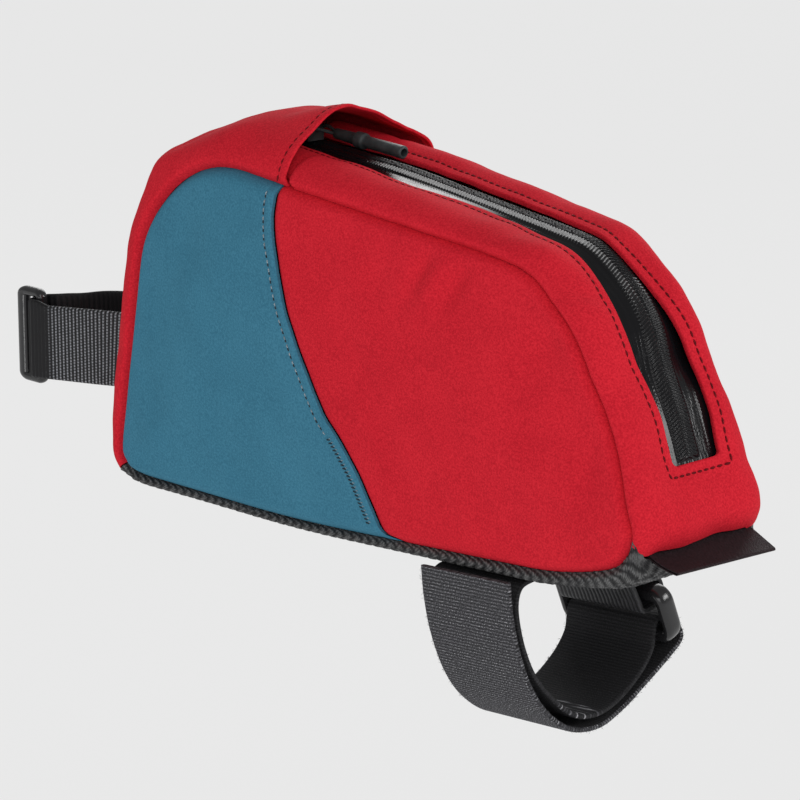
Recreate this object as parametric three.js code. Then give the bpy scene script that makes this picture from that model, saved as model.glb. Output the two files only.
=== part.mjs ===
// Bicycle top tube bag: a cloth shell with a hooded zip, a stem strap and a tube strap.
// X runs along the top tube towards the saddle, Y across it and Z up, in millimetres.
// The origin is the middle of the flat underside that sits on the tube.
import * as THREE from 'three';

// Cloth walls and the clearance between pieces that are sewn edge to edge.
const WALL = 1.2;
const HEM_WALL = 2.2;
const HEM_LENGTH = 9;
const SEAM_GAP = 0.4;

// Outline of both sides: the corners of the seam, each with the radius that rounds it.
const SEAM_CORNERS = [
  { name: 'foot', x: -111.6, z: 3.4, radius: 6 },
  { name: 'shoulder', x: -88.9, z: 113.2, radius: 46 },
  { name: 'knee', x: 83.9, z: 94.2, radius: 40 },
  { name: 'tail', x: 112.7, z: 20.2, radius: 10 },
  { name: 'keel', x: 84, z: 10.7, radius: 120 },
  { name: 'belly', x: -30, z: 3.4, radius: 700 },
];

// A station counts the corners along the seam: 0 foot, 1 shoulder, 2 knee, 3 tail, 4 keel, 5 belly.
const FOOT = 0;
const SHOULDER = 1;
const KNEE = 2;
const TAIL = 3;
const FOOT_AGAIN = 6;

// Stations between corners: where the stem wall, the hood's rim, the bends and the flat seat lie.
const TOE_END = 0.1;
const STEM_WALL_END = 0.65;
const RIM = 1.327;
const KNEE_START = 1.86;
const KNEE_END = 2.3;
const TAIL_END = 3.35;
const KEEL_END = 4.2;
const BELLY_START = 4.8;
const SEAT_START = 5.29;
const SEAT_END = 5.949;

// Half the width of the bag from seam to seam.
const HALF_WIDTHS = [
  { station: 0, half: 26 },
  { station: 0.3, half: 26.6 },
  { station: 0.65, half: 27.4 },
  { station: 1, half: 28.4 },
  { station: RIM, half: 29.4 },
  { station: 1.6, half: 28.2 },
  { station: 1.82, half: 26.6 },
  { station: 2, half: 22.8 },
  { station: 2.42, half: 23.4 },
  { station: 2.7, half: 25.6 },
  { station: 2.92, half: 27.2 },
  { station: 3, half: 27.2 },
  { station: 4, half: 26.5 },
  { station: 6, half: 26 },
];

// How far each band stands out from the seam, and the share of its half width that is flat.
const HOOD_SECTIONS = [
  { station: 0, crown: 5.9, flat: 0.85 },
  { station: TOE_END, crown: 10.6, flat: 0.72 },
  { station: 0.3, crown: 11.9, flat: 0.7 },
  { station: 0.5, crown: 13, flat: 0.66 },
  { station: 0.7, crown: 14, flat: 0.6 },
  { station: 0.84, crown: 14.6, flat: 0.56 },
  { station: 1, crown: 12.9, flat: 0.45 },
  { station: 1.2, crown: 15.8, flat: 0.22 },
  { station: RIM, crown: 21.2, flat: 0.04 },
];
const ZIP_SECTIONS = [
  { station: 1.1, crown: 9.8, flat: 0.5, dip: 3 },
  { station: 1.4, crown: 9.8, flat: 0.5, dip: 2.6 },
  { station: 1.6, crown: 9, flat: 0.5, dip: 2.2 },
  { station: 1.85, crown: 7.6, flat: 0.5, dip: 1.8 },
  { station: 2, crown: 5.6, flat: 0.52, dip: 2 },
  { station: 2.4, crown: 6.2, flat: 0.5, dip: 2.2 },
  { station: 2.75, crown: 7.4, flat: 0.48, dip: 2.2 },
  { station: 2.92, crown: 6.6, flat: 0.52, dip: 0 },
  { station: 3, crown: 4, flat: 0.7, dip: 0 },
];
const BASE_SECTIONS = [
  { station: 3, crown: 4.6, flat: 0.7 },
  { station: 3.14, crown: 7, flat: 0.74 },
  { station: TAIL_END, crown: 6.6, flat: 0.8 },
  { station: 4, crown: 4.8, flat: 0.88 },
  { station: 4.6, crown: 3.9, flat: 0.9 },
  { station: SEAT_START, crown: 3.4, flat: 0.9 },
  { station: SEAT_END, crown: 3.4, flat: 0.9 },
  { station: 5.975, crown: 3.9, flat: 0.88 },
  { station: 6, crown: 5.9, flat: 0.85 },
];

// Zip slot in the band: half width, rounded lower end and the dip of the cloth towards it.
// Before the rim the band is tucked in to pass under the hood.
const SLOT_HALF = 8.3;
const SLOT_END = 2.7;
const SLOT_ROUNDING = 3;
const DIP_REACH = 9;
const ZIP_START = 1.17;
const TUCK_CLEARANCE = 0.6;
const TUCK = HEM_WALL + TUCK_CLEARANCE;
const TUCK_MARGIN = 0.7;
const TUCK_LENGTH = 1.4;
const TAPE_START = 1.13;
const TAPE_HALF = 14;
const TAPE_THICKNESS = 1;
const TAPE_TAIL = 6;
const COIL_HALF = 2.6;
const COIL_TOP_HALF = 1.6;
const COIL_HEIGHT = 0.7;
const COIL_STOP = 1.4;

// Side panels: how far they dome out, and the edge of the cover panel by height.
const DOME = 3;
const DOME_REACH = 38;
const BLEND_POWER = 3;
const FOLD_MARGIN = 14;
const COVER_PROUD = 0.4;
const COVER_EDGE = [
  { height: 6, x: 18 },
  { height: 7, x: 13.2 },
  { height: 11.2, x: 9.3 },
  { height: 23.6, x: 2.7 },
  { height: 35.4, x: -6 },
  { height: 41.1, x: -11.2 },
  { height: 53.4, x: -18.5 },
  { height: 65.9, x: -24.6 },
  { height: 78.7, x: -28.5 },
  { height: 91.6, x: -31.9 },
  { height: 98.2, x: -32.7 },
  { height: 106, x: -31.2 },
];
const COVER_TOP = 1.313;
const COVER_BOTTOM = 4.58;

// Soft folds in the side panels: place, lean from upright in degrees, reach and depth.
const FOLDS = [
  { x: 28, z: 86, lean: 14, length: 15, width: 4.5, depth: 0.9 },
  { x: 42, z: 82, lean: 6, length: 16, width: 4.5, depth: -0.9 },
  { x: 78, z: 76, lean: 38, length: 14, width: 6, depth: -1.2 },
  { x: -74, z: 80, lean: 35, length: 18, width: 8, depth: -0.7 },
];

// Zip slider, pull cord and pull tube under the hood.
const SLIDER = { station: 1.19, clearance: 1.1, length: 10, width: 6.4, plate: 2.4, height: 6, shoulder: 4 };
const EYE = { half: 2.6, halfHeight: 1.3, lift: 0.9 };
const CORD = { radius: 0.55, spread: 0.66, into: 0.12, turn: 0.8, bow: 6.5, bowLift: 1.6, bowShare: 0.75 };
const PULL_START = new THREE.Vector3(-37.5, 1.5, 118);
const PULL_END = new THREE.Vector3(-7.3, 1, 115.8);
const PULL_BORE = 1.5;
const PULL_PROFILE = [
  { along: 0, radius: 1.9 },
  { along: 0.28, radius: 2.2 },
  { along: 0.34, radius: 2.7 },
  { along: 0.44, radius: 2.7 },
  { along: 0.5, radius: 2.2 },
  { along: 1, radius: 2.3 },
];

// Label folded into the tail seam: level at first, then curled up towards its near corner.
const LABEL = {
  half: 19.6, middle: 2, thickness: 1.4, nose: 0.6, root: -1.5, level: 4.5, reach: 14.4, curl: 2,
};

// Room that the label and its clearance take out of the bands on either side of it.
const LABEL_ROOM = LABEL.thickness / 2 + SEAM_GAP;

// Stem strap: webbing loop in plan, its height and its droop away from the bag.
const WEBBING = 1.6;
const STEM_STRAP = {
  height: 25.4, middle: 37.9, droop: 0.1, roll: 0.12, bagEnd: -117.2, lean: 0.17, settle: 30,
};
const STEM_LOOP = [
  { x: 0, y: -8.6 },
  { x: -29.4, y: -8.9 },
  { x: -46, y: -9 },
  { x: -54.5, y: -9.1 },
  { x: -60, y: -8.9 },
  { x: -61.9, y: -7.7 },
  { x: -62.1, y: -5.5 },
  { x: -61.8, y: -3.3 },
  { x: -60, y: -2.1 },
  { x: -56.8, y: -0.8 },
  { x: -53.4, y: 4 },
  { x: -49.4, y: 8.6 },
  { x: -43, y: 11.4 },
  { x: -32, y: 12.2 },
  { x: 0, y: 11 },
];
const BUCKLE = {
  x: -180.6, y: -5.5, z: 32.4, width: 12, height: 32.8, depth: 3.6,
  bar: 3.3, cap: 2.9, ease: 1, corner: 2.2, windowCorner: 0.8,
};

// Tube strap: hook-and-loop ribbon as seen along the tube, from the base round to its cut end.
const STRAP_MIDDLE = 47.5;
const STRAP_WIDTH = 36;
const STRAP_TILT = 3.5;
const STRAP_LIFT = 2.4;
const STRAP_THICKNESS = 1.6;
const STRAP_ROUTE = [
  { y: -8, z: -0.5 },
  { y: -18, z: -0.5 },
  { y: -23, z: -2.4 },
  { y: -24.5, z: -9 },
  { y: -22, z: -21 },
  { y: -16.3, z: -32 },
  { y: -4.2, z: -43.4 },
  { y: 6, z: -46.6 },
  { y: 16, z: -44.8 },
  { y: 26, z: -39 },
  { y: 31.8, z: -33 },
  { y: 33.2, z: -28.9 },
  { y: 34.5, z: -25.5 },
  { y: 37.5, z: -24.3 },
  { y: 41.5, z: -24.2 },
  { y: 44.5, z: -27.7 },
  { y: 45.4, z: -32 },
  { y: 39.6, z: -36.2 },
  { y: 28.6, z: -42.2 },
  { y: 18.8, z: -47.2 },
  { y: 8, z: -50.4 },
  { y: -4, z: -48.4 },
  { y: -14, z: -41 },
  { y: -20.4, z: -31.6 },
  { y: -24.7, z: -20 },
  { y: -26.8, z: -9 },
  { y: -27.4, z: 0.6 },
];

// Ring that the strap turns back through, and the tab that holds it.
const RING = {
  x: 0.5, y: 36, z: -21.8, lean: 20, length: 44.4, height: 19, depth: 6.4,
  bar: 4.6, end: 3.2, ease: 1.3, corner: 5, windowCorner: 1.6,
};
const TAB_WIDTH = 34;
const TAB_THICKNESS = 1.4;
const TAB_ROUTE = [
  { y: 8, z: -0.4 },
  { y: 18, z: -0.6 },
  { y: 25, z: -4 },
  { y: 33, z: -9.4 },
  { y: 37.5, z: -12.1 },
  { y: 38.7, z: -15.7 },
  { y: 37.3, z: -18.1 },
  { y: 33.9, z: -18.9 },
  { y: 30.1, z: -19.1 },
  { y: 28.1, z: -15.5 },
  { y: 23.6, z: -8.6 },
  { y: 17, z: -3.4 },
  { y: 9, z: -2.9 },
];

// Grid steps: how finely each piece is divided.
const SHOULDER_STEPS = 4;
const HOOD_STEPS = { toe: 3, stemWall: 5, shoulder: 11, hem: 3 };
const ZIP_STEPS = { tucked: 3, tuck: 1, top: 6, knee: 9, rear: 4, slotEnd: 3, tail: 6 };
const TAPE_STEPS = { top: 8, knee: 8, rear: 4, coilEnd: 1, tail: 2 };
const BASE_STEPS = { tail: 5, keel: 7, belly: 3, rise: 4, seat: 3, toe: 4 };
const SIDE_STEPS = { columns: 20, rows: 13 };
const COVER_STEPS = { columns: 13, rows: 12 };
const LABEL_STEPS = { rows: 8, columns: 2 };
const STEM_STEPS = 56;
const STRAP_STEPS = 80;
const TAB_STEPS = 40;
const CORD_STEPS = 32;
const CORD_CORNER_STEPS = 3;
const TUBE_SIDES = 14;
const EYE_STEPS = 6;
const EASE_STEPS = 2;
const CORNER_STEPS = 3;
const SEAM_SAMPLES = 160;
const NORMAL_STEP = 0.002;

// Colours and finish of the materials.
const RED_CLOTH = { color: 0xc0242e, roughness: 0.85, metalness: 0 };
const BLUE_CLOTH = { color: 0x3e6f87, roughness: 0.85, metalness: 0 };
const BASE_CLOTH = { color: 0x3a3a3a, roughness: 0.75, metalness: 0 };
const COATED_TAPE = { color: 0x17181a, roughness: 0.25, metalness: 0 };
const WEBBING_CLOTH = { color: 0x4a4a4e, roughness: 0.8, metalness: 0 };
const HOOK_AND_LOOP = { color: 0x3a393d, roughness: 0.9, metalness: 0 };
const BLACK_PLASTIC = { color: 0x1c1c1e, roughness: 0.35, metalness: 0 };
const GREY_RUBBER = { color: 0x3a4243, roughness: 0.5, metalness: 0 };
const LABEL_CLOTH = { color: 0x2d1d20, roughness: 0.7, metalness: 0 };

const SIDES = [
  { name: 'left', sign: -1 },
  { name: 'right', sign: 1 },
];

const bag = new THREE.Group();

function addPiece(name, geometry, finish) {
  const mesh = new THREE.Mesh(geometry, new THREE.MeshStandardMaterial(finish));
  mesh.name = name;
  bag.add(mesh);
}

function mix(a, b, share) {
  return a + (b - a) * share;
}

function smoothStep(share) {
  const t = THREE.MathUtils.clamp(share, 0, 1);
  return t * t * (3 - 2 * t);
}

// Value of a table column at a key, on a cubic that never overshoots its rows.
function lookUp(table, key, column, at) {
  const last = table.length - 1;
  const x = table.map((row) => row[key]);
  const y = table.map((row) => row[column]);
  const t = THREE.MathUtils.clamp(at, x[0], x[last]);
  const i = Math.min(Math.max(x.findIndex((value) => value > t) - 1, 0), last - 1);
  const row = t >= x[last] ? last - 1 : i;
  const rise = (k) => (y[k + 1] - y[k]) / (x[k + 1] - x[k]);
  const slope = (k) => {
    if (k === 0) return rise(0);
    if (k === last) return rise(last - 1);
    const product = rise(k - 1) * rise(k);
    return product <= 0 ? 0 : (2 * product) / (rise(k - 1) + rise(k));
  };
  const span = x[row + 1] - x[row];
  const u = (t - x[row]) / span;
  const keep = (1 + 2 * u) * (1 - u) ** 2;
  return keep * y[row] + (1 - keep) * y[row + 1]
    + span * u * (1 - u) * ((1 - u) * slope(row) - u * slope(row + 1));
}

// The seam as lines and arcs, walked up the stem end, along the top and back along the base.
function walkSeam(corners) {
  const points = corners.map((corner) => new THREE.Vector2(corner.x, corner.z));
  const count = corners.length;
  const rounds = corners.map((corner, i) => {
    const into = points[i].clone().sub(points[(i + count - 1) % count]).normalize();
    const out = points[(i + 1) % count].clone().sub(points[i]).normalize();
    const turn = Math.acos(into.dot(out));
    const reach = corner.radius * Math.tan(turn / 2);
    const start = points[i].clone().addScaledVector(into, -reach);
    const centre = start.clone().add(new THREE.Vector2(into.y, -into.x).multiplyScalar(corner.radius));
    const heading = Math.atan2(into.y, into.x);
    return { turn, reach, centre, heading, out, radius: corner.radius, arc: corner.radius * turn };
  });
  const straights = rounds.map((round, i) => {
    const next = (i + 1) % count;
    return points[i].distanceTo(points[next]) - round.reach - rounds[next].reach;
  });
  return { points, rounds, straights };
}

const SEAM = walkSeam(SEAM_CORNERS);

function wrapCorner(corner) {
  return THREE.MathUtils.euclideanModulo(corner, SEAM_CORNERS.length);
}

// Distance from one corner's middle to the next one's.
function stretch(corner) {
  const { rounds, straights } = SEAM;
  return rounds[corner].arc / 2 + straights[corner] + rounds[wrapCorner(corner + 1)].arc / 2;
}

function onArc(round, angle) {
  const heading = round.heading - angle;
  const normal = new THREE.Vector2(-Math.sin(heading), Math.cos(heading));
  return { point: round.centre.clone().addScaledVector(normal, round.radius), normal };
}

// Point of the seam at a station, with the direction that leads out of the bag.
function seamAt(station) {
  const { points, rounds, straights } = SEAM;
  const corner = wrapCorner(Math.floor(station));
  const next = wrapCorner(corner + 1);
  const along = (station - Math.floor(station)) * stretch(corner);
  const half = rounds[corner].arc / 2;
  if (along <= half) {
    return onArc(rounds[corner], rounds[corner].turn / 2 + along / rounds[corner].radius);
  }
  if (along >= half + straights[corner]) {
    return onArc(rounds[next], (along - half - straights[corner]) / rounds[next].radius);
  }
  const { out, reach } = rounds[corner];
  const point = points[corner].clone().addScaledVector(out, reach + along - half);
  return { point, normal: new THREE.Vector2(-out.y, out.x) };
}

function halfWidthAt(station) {
  return lookUp(HALF_WIDTHS, 'station', 'half', station);
}

// Station that lies a distance in millimetres further along the seam, or back along it.
function stationPast(station, distance) {
  const corner = distance < 0 ? Math.ceil(station) - 1 : Math.floor(station);
  return station + distance / stretch(wrapCorner(corner));
}

// A wall between an outer and an inner grid of points, closed along its edges and any opening.
function wallGeometry(rows, columns, outerAt, innerAt, isOpen = () => false) {
  const positions = [];
  const triangles = [];
  const known = new Map();
  const vertex = (i, j, inner) => {
    const key = `${i} ${j} ${inner}`;
    if (!known.has(key)) {
      known.set(key, positions.length / 3);
      positions.push(...(inner ? innerAt : outerAt)(i, j).toArray());
    }
    return known.get(key);
  };
  const quad = (a, b, c, d) => triangles.push(a, b, c, a, c, d);
  const isSolid = (i, j) => i >= 0 && j >= 0 && i < rows && j < columns && !isOpen(i, j);
  for (let i = 0; i < rows; i += 1) {
    for (let j = 0; j < columns; j += 1) {
      if (!isSolid(i, j)) continue;
      const ring = [[i, j], [i + 1, j], [i + 1, j + 1], [i, j + 1]];
      const beyond = [[i, j - 1], [i + 1, j], [i, j + 1], [i - 1, j]];
      quad(...ring.map(([p, q]) => vertex(p, q, false)));
      quad(...ring.map(([p, q]) => vertex(p, q, true)).reverse());
      beyond.forEach(([p, q], side) => {
        if (isSolid(p, q)) return;
        const [from, to] = [ring[side], ring[(side + 1) % 4]];
        quad(vertex(...to, false), vertex(...from, false), vertex(...from, true), vertex(...to, true));
      });
    }
  }
  const geometry = new THREE.BufferGeometry();
  geometry.setAttribute('position', new THREE.Float32BufferAttribute(positions, 3));
  geometry.setIndex(triangles);
  return facingOut(geometry);
}

// Turns every triangle round when the enclosed volume comes out negative.
function facingOut(geometry) {
  const position = geometry.getAttribute('position');
  const index = geometry.getIndex().array;
  const corner = (k) => new THREE.Vector3().fromBufferAttribute(position, index[k]);
  let volume = 0;
  for (let k = 0; k < index.length; k += 3) {
    volume += corner(k).dot(corner(k + 1).cross(corner(k + 2)));
  }
  if (volume < 0) index.reverse();
  geometry.computeVertexNormals();
  return geometry;
}

// Shares of the way across half a band: the slot edge, the end of the flat and the shoulder.
const SLOT_SHARE = 0.25;
const FLAT_SHARE = 0.5;

// Point on a band: across runs from -1 at one seam to 1 at the other over a flat and two shoulders.
function bandPoint(sections, station, across, { tuck = 0, slot = null, dip = 0 } = {}) {
  const { point, normal } = seamAt(station);
  const half = halfWidthAt(station) - tuck;
  const crown = lookUp(sections, 'station', 'crown', station);
  const flat = lookUp(sections, 'station', 'flat', station) * half;
  const edge = slot ?? flat / 2;
  const share = Math.abs(across);
  const bend = Math.max(share - FLAT_SHARE, 0) / (1 - FLAT_SHARE) * Math.PI / 2;
  let y = mix(flat, half, Math.sin(bend));
  if (share < SLOT_SHARE) y = mix(0, edge, share / SLOT_SHARE);
  else if (share < FLAT_SHARE) y = mix(edge, flat, (share - SLOT_SHARE) / (FLAT_SHARE - SLOT_SHARE));
  const sink = dip * (1 - smoothStep((y - SLOT_HALF) / DIP_REACH));
  const rise = crown * Math.cos(bend) - sink;
  return new THREE.Vector3(point.x + normal.x * rise, Math.sign(across) * y, point.y + normal.y * rise);
}

// Moves a point of a surface inwards along the normal that its neighbours give.
function sunkPoint(surface, station, across, depth) {
  const low = Math.max(across - NORMAL_STEP, -1);
  const high = Math.min(across + NORMAL_STEP, 1);
  const along = surface(station + NORMAL_STEP, across).sub(surface(station - NORMAL_STEP, across));
  const over = surface(station, high).sub(surface(station, low));
  return surface(station, across).addScaledVector(along.cross(over).normalize(), -depth);
}

// Columns across a band, close together over the shoulders.
function bandColumns(flatShares) {
  const bends = Array.from({ length: SHOULDER_STEPS }, (_, k) => mix(1, FLAT_SHARE, k / SHOULDER_STEPS));
  const half = [...bends, ...flatShares];
  return [...half.map((share) => -share), 0, ...half.reverse()];
}

// Rows of stations from a start through spans that are each divided evenly.
function stationsAlong(start, spans) {
  return spans.reduce((rows, { until, steps }) => {
    const from = rows[rows.length - 1];
    return [...rows, ...Array.from({ length: steps }, (_, k) => mix(from, until, (k + 1) / steps))];
  }, [start]);
}

// A band from its rows of stations and columns across, with a wall thickness by station.
function bandGeometry(surface, stations, columns, wallAt, isOpen) {
  return wallGeometry(
    stations.length - 1,
    columns.length - 1,
    (i, j) => surface(stations[i], columns[j]),
    (i, j) => sunkPoint(surface, stations[i], columns[j], wallAt(stations[i])),
    isOpen,
  );
}

function hoodBand() {
  const hem = stationPast(RIM, -HEM_LENGTH);
  const stations = stationsAlong(stationPast(FOOT, SEAM_GAP / 2), [
    { until: TOE_END, steps: HOOD_STEPS.toe },
    { until: STEM_WALL_END, steps: HOOD_STEPS.stemWall },
    { until: hem, steps: HOOD_STEPS.shoulder },
    { until: RIM, steps: HOOD_STEPS.hem },
  ]);
  const wallAt = (station) => (station > hem ? HEM_WALL : WALL);
  const surface = (station, across) => bandPoint(HOOD_SECTIONS, station, across);
  return bandGeometry(surface, stations, bandColumns([FLAT_SHARE, SLOT_SHARE]), wallAt);
}

// Slot half width, which closes on a quarter circle at the lower end.
function slotAt(station) {
  const left = (SLOT_END - station) * stretch(KNEE);
  const inside = Math.max(SLOT_ROUNDING - left, 0);
  if (left < 0) return SLOT_HALF - SLOT_ROUNDING;
  return SLOT_HALF - SLOT_ROUNDING + Math.sqrt(SLOT_ROUNDING ** 2 - inside ** 2);
}

function zipSurface(station, across) {
  const beyond = (station - RIM) * stretch(SHOULDER) - TUCK_MARGIN;
  const tuck = TUCK * (1 - smoothStep(beyond / TUCK_LENGTH));
  const dip = lookUp(ZIP_SECTIONS, 'station', 'dip', station);
  return bandPoint(ZIP_SECTIONS, station, across, { tuck, slot: slotAt(station), dip });
}

function zipBand() {
  const stations = stationsAlong(ZIP_START, [
    { until: stationPast(RIM, TUCK_MARGIN), steps: ZIP_STEPS.tucked },
    { until: stationPast(RIM, TUCK_MARGIN + TUCK_LENGTH), steps: ZIP_STEPS.tuck },
    { until: KNEE_START, steps: ZIP_STEPS.top },
    { until: KNEE_END, steps: ZIP_STEPS.knee },
    { until: stationPast(SLOT_END, -SLOT_ROUNDING), steps: ZIP_STEPS.rear },
    { until: SLOT_END, steps: ZIP_STEPS.slotEnd },
    { until: stationPast(TAIL, -LABEL_ROOM), steps: ZIP_STEPS.tail },
  ]);
  const columns = bandColumns([FLAT_SHARE, SLOT_SHARE]);
  const middle = columns.indexOf(0);
  const isOpen = (i, j) => (stations[i] + stations[i + 1]) / 2 < SLOT_END && Math.abs(j + 0.5 - middle) < 1;
  return bandGeometry(zipSurface, stations, columns, () => WALL, isOpen);
}

// Point on the tape: just under the cloth at the slot's edge, lifted by a height above it.
function tapePoint(station, y, lift) {
  const { point, normal } = seamAt(station);
  const crown = lookUp(ZIP_SECTIONS, 'station', 'crown', station);
  const dip = lookUp(ZIP_SECTIONS, 'station', 'dip', Math.min(station, SLOT_END));
  const rise = crown - dip - WALL - SEAM_GAP + lift;
  return new THREE.Vector3(point.x + normal.x * rise, y, point.y + normal.y * rise);
}

// Tape under the slot, with the coil as a ridge along its middle that stops short of the slot's end.
function zipTape() {
  const coilEnd = stationPast(SLOT_END, -COIL_STOP);
  const bareTape = stationPast(SLOT_END, -COIL_STOP / 2);
  const stations = stationsAlong(TAPE_START, [
    { until: KNEE_START, steps: TAPE_STEPS.top },
    { until: KNEE_END, steps: TAPE_STEPS.knee },
    { until: coilEnd, steps: TAPE_STEPS.rear },
    { until: bareTape, steps: TAPE_STEPS.coilEnd },
    { until: stationPast(SLOT_END, TAPE_TAIL), steps: TAPE_STEPS.tail },
  ]);
  const across = [-TAPE_HALF, -COIL_HALF, -COIL_TOP_HALF, COIL_TOP_HALF, COIL_HALF, TAPE_HALF];
  const hasCoil = (station) => station < (coilEnd + bareTape) / 2;
  const coilAt = (station, y) => (Math.abs(y) < COIL_HALF && hasCoil(station) ? COIL_HEIGHT : 0);
  return wallGeometry(
    stations.length - 1,
    across.length - 1,
    (i, j) => tapePoint(stations[i], across[j], coilAt(stations[i], across[j])),
    (i, j) => tapePoint(stations[i], across[j], -TAPE_THICKNESS),
  );
}

function basePanel() {
  const stations = stationsAlong(stationPast(TAIL, LABEL_ROOM), [
    { until: TAIL_END, steps: BASE_STEPS.tail },
    { until: KEEL_END, steps: BASE_STEPS.keel },
    { until: BELLY_START, steps: BASE_STEPS.belly },
    { until: SEAT_START, steps: BASE_STEPS.rise },
    { until: SEAT_END, steps: BASE_STEPS.seat },
    { until: stationPast(FOOT_AGAIN, -SEAM_GAP / 2), steps: BASE_STEPS.toe },
  ]);
  const surface = (station, across) => bandPoint(BASE_SECTIONS, station, across);
  return bandGeometry(surface, stations, bandColumns([FLAT_SHARE]), () => WALL);
}

const SEAM_SAMPLE_POINTS = Array.from({ length: SEAM_SAMPLES }, (_, k) => {
  const station = FOOT_AGAIN * k / SEAM_SAMPLES;
  return { point: seamAt(station).point, half: halfWidthAt(station) };
});

function foldAt(x, z) {
  return FOLDS.reduce((sum, fold) => {
    const lean = THREE.MathUtils.degToRad(fold.lean);
    const along = Math.sin(lean) * (x - fold.x) + Math.cos(lean) * (z - fold.z);
    const beside = Math.cos(lean) * (x - fold.x) - Math.sin(lean) * (z - fold.z);
    return sum + fold.depth * Math.exp(-((along / fold.length) ** 2) - (beside / fold.width) ** 2);
  }, 0);
}

// Distance of a side panel from the middle plane: the seam widths blended inwards, then the dome.
function sideDepth(x, z) {
  let weights = 0;
  let widths = 0;
  let nearest = Infinity;
  SEAM_SAMPLE_POINTS.forEach(({ point, half }) => {
    const distance = Math.max(Math.hypot(point.x - x, point.y - z), SEAM_GAP);
    const weight = distance ** -BLEND_POWER;
    weights += weight;
    widths += weight * half;
    nearest = Math.min(nearest, distance);
  });
  const calm = smoothStep(nearest / FOLD_MARGIN);
  return widths / weights + DOME * smoothStep(nearest / DOME_REACH) + calm * foldAt(x, z);
}

// Point just inside the seam, where a side panel ends.
function panelEdge(station) {
  const { point, normal } = seamAt(station);
  return point.clone().addScaledVector(normal, -SEAM_GAP);
}

function seamEdge(start, end) {
  return (share) => panelEdge(mix(start, end, share));
}

// Edge between cover panel and side panel, from the base up, moved sideways by a clearance.
function coverEdge(shift) {
  const bottom = panelEdge(COVER_BOTTOM);
  const top = panelEdge(COVER_TOP);
  return (share) => {
    const height = mix(bottom.y, top.y, share);
    const x = lookUp(COVER_EDGE, 'height', 'x', height);
    const lowError = bottom.x - lookUp(COVER_EDGE, 'height', 'x', bottom.y);
    const highError = top.x - lookUp(COVER_EDGE, 'height', 'x', top.y);
    return new THREE.Vector2(x + mix(lowError, highError, share) + shift, height);
  };
}

// A patch between four edges, blended so that each edge is met exactly.
function patchPoint({ bottom, top, left, right }, u, v) {
  const blend = new THREE.Vector2();
  blend.addScaledVector(bottom(u), 1 - v).addScaledVector(top(u), v);
  blend.addScaledVector(left(v), 1 - u).addScaledVector(right(v), u);
  blend.addScaledVector(bottom(0), (u - 1) * (1 - v)).addScaledVector(bottom(1), -u * (1 - v));
  blend.addScaledVector(top(0), (u - 1) * v).addScaledVector(top(1), -u * v);
  return blend;
}

function panelGeometry(edges, { columns, rows }, sign, proud) {
  const at = (inset) => (i, j) => {
    const { x, y: z } = patchPoint(edges, i / columns, j / rows);
    return new THREE.Vector3(x, sign * (sideDepth(x, z) + proud - inset), z);
  };
  return wallGeometry(columns, rows, at(0), at(WALL));
}

function sidePanel(sign) {
  const shift = SEAM_GAP / 2;
  const edges = {
    left: coverEdge(shift),
    right: seamEdge(TAIL, KNEE),
    bottom: seamEdge(stationPast(COVER_BOTTOM, -shift), TAIL),
    top: seamEdge(stationPast(COVER_TOP, shift), KNEE),
  };
  return panelGeometry(edges, SIDE_STEPS, sign, 0);
}

function coverPanel(sign) {
  const shift = SEAM_GAP / 2;
  const edges = {
    left: seamEdge(FOOT, SHOULDER),
    right: coverEdge(-shift),
    bottom: seamEdge(FOOT_AGAIN, stationPast(COVER_BOTTOM, shift)),
    top: seamEdge(SHOULDER, stationPast(COVER_TOP, -shift)),
  };
  return panelGeometry(edges, COVER_STEPS, sign, COVER_PROUD);
}

// Slider on the tape: a plate with a bridge, drawn from the side and given its width.
function zipSlider() {
  const foot = tapePoint(SLIDER.station, 0, SLIDER.clearance);
  const { normal } = seamAt(SLIDER.station);
  const end = SLIDER.length / 2;
  const side = new THREE.Shape();
  side.moveTo(-end, 0);
  side.lineTo(end, 0);
  side.lineTo(end, SLIDER.plate);
  side.quadraticCurveTo(SLIDER.shoulder, SLIDER.height, 0, SLIDER.height);
  side.quadraticCurveTo(-SLIDER.shoulder, SLIDER.height, -end, SLIDER.plate);
  side.closePath();
  const eye = new THREE.Path();
  eye.absellipse(0, SLIDER.plate + EYE.lift, EYE.half, EYE.halfHeight, 0, 2 * Math.PI, true);
  side.holes.push(eye);
  const depth = SLIDER.width;
  const settings = { depth, bevelEnabled: false, curveSegments: EYE_STEPS };
  const geometry = new THREE.ExtrudeGeometry(side, settings);
  geometry.translate(0, 0, -depth / 2);
  geometry.rotateX(Math.PI / 2);
  geometry.rotateY(-Math.atan2(-normal.x, normal.y));
  return geometry.translate(...foot.toArray());
}

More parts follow.
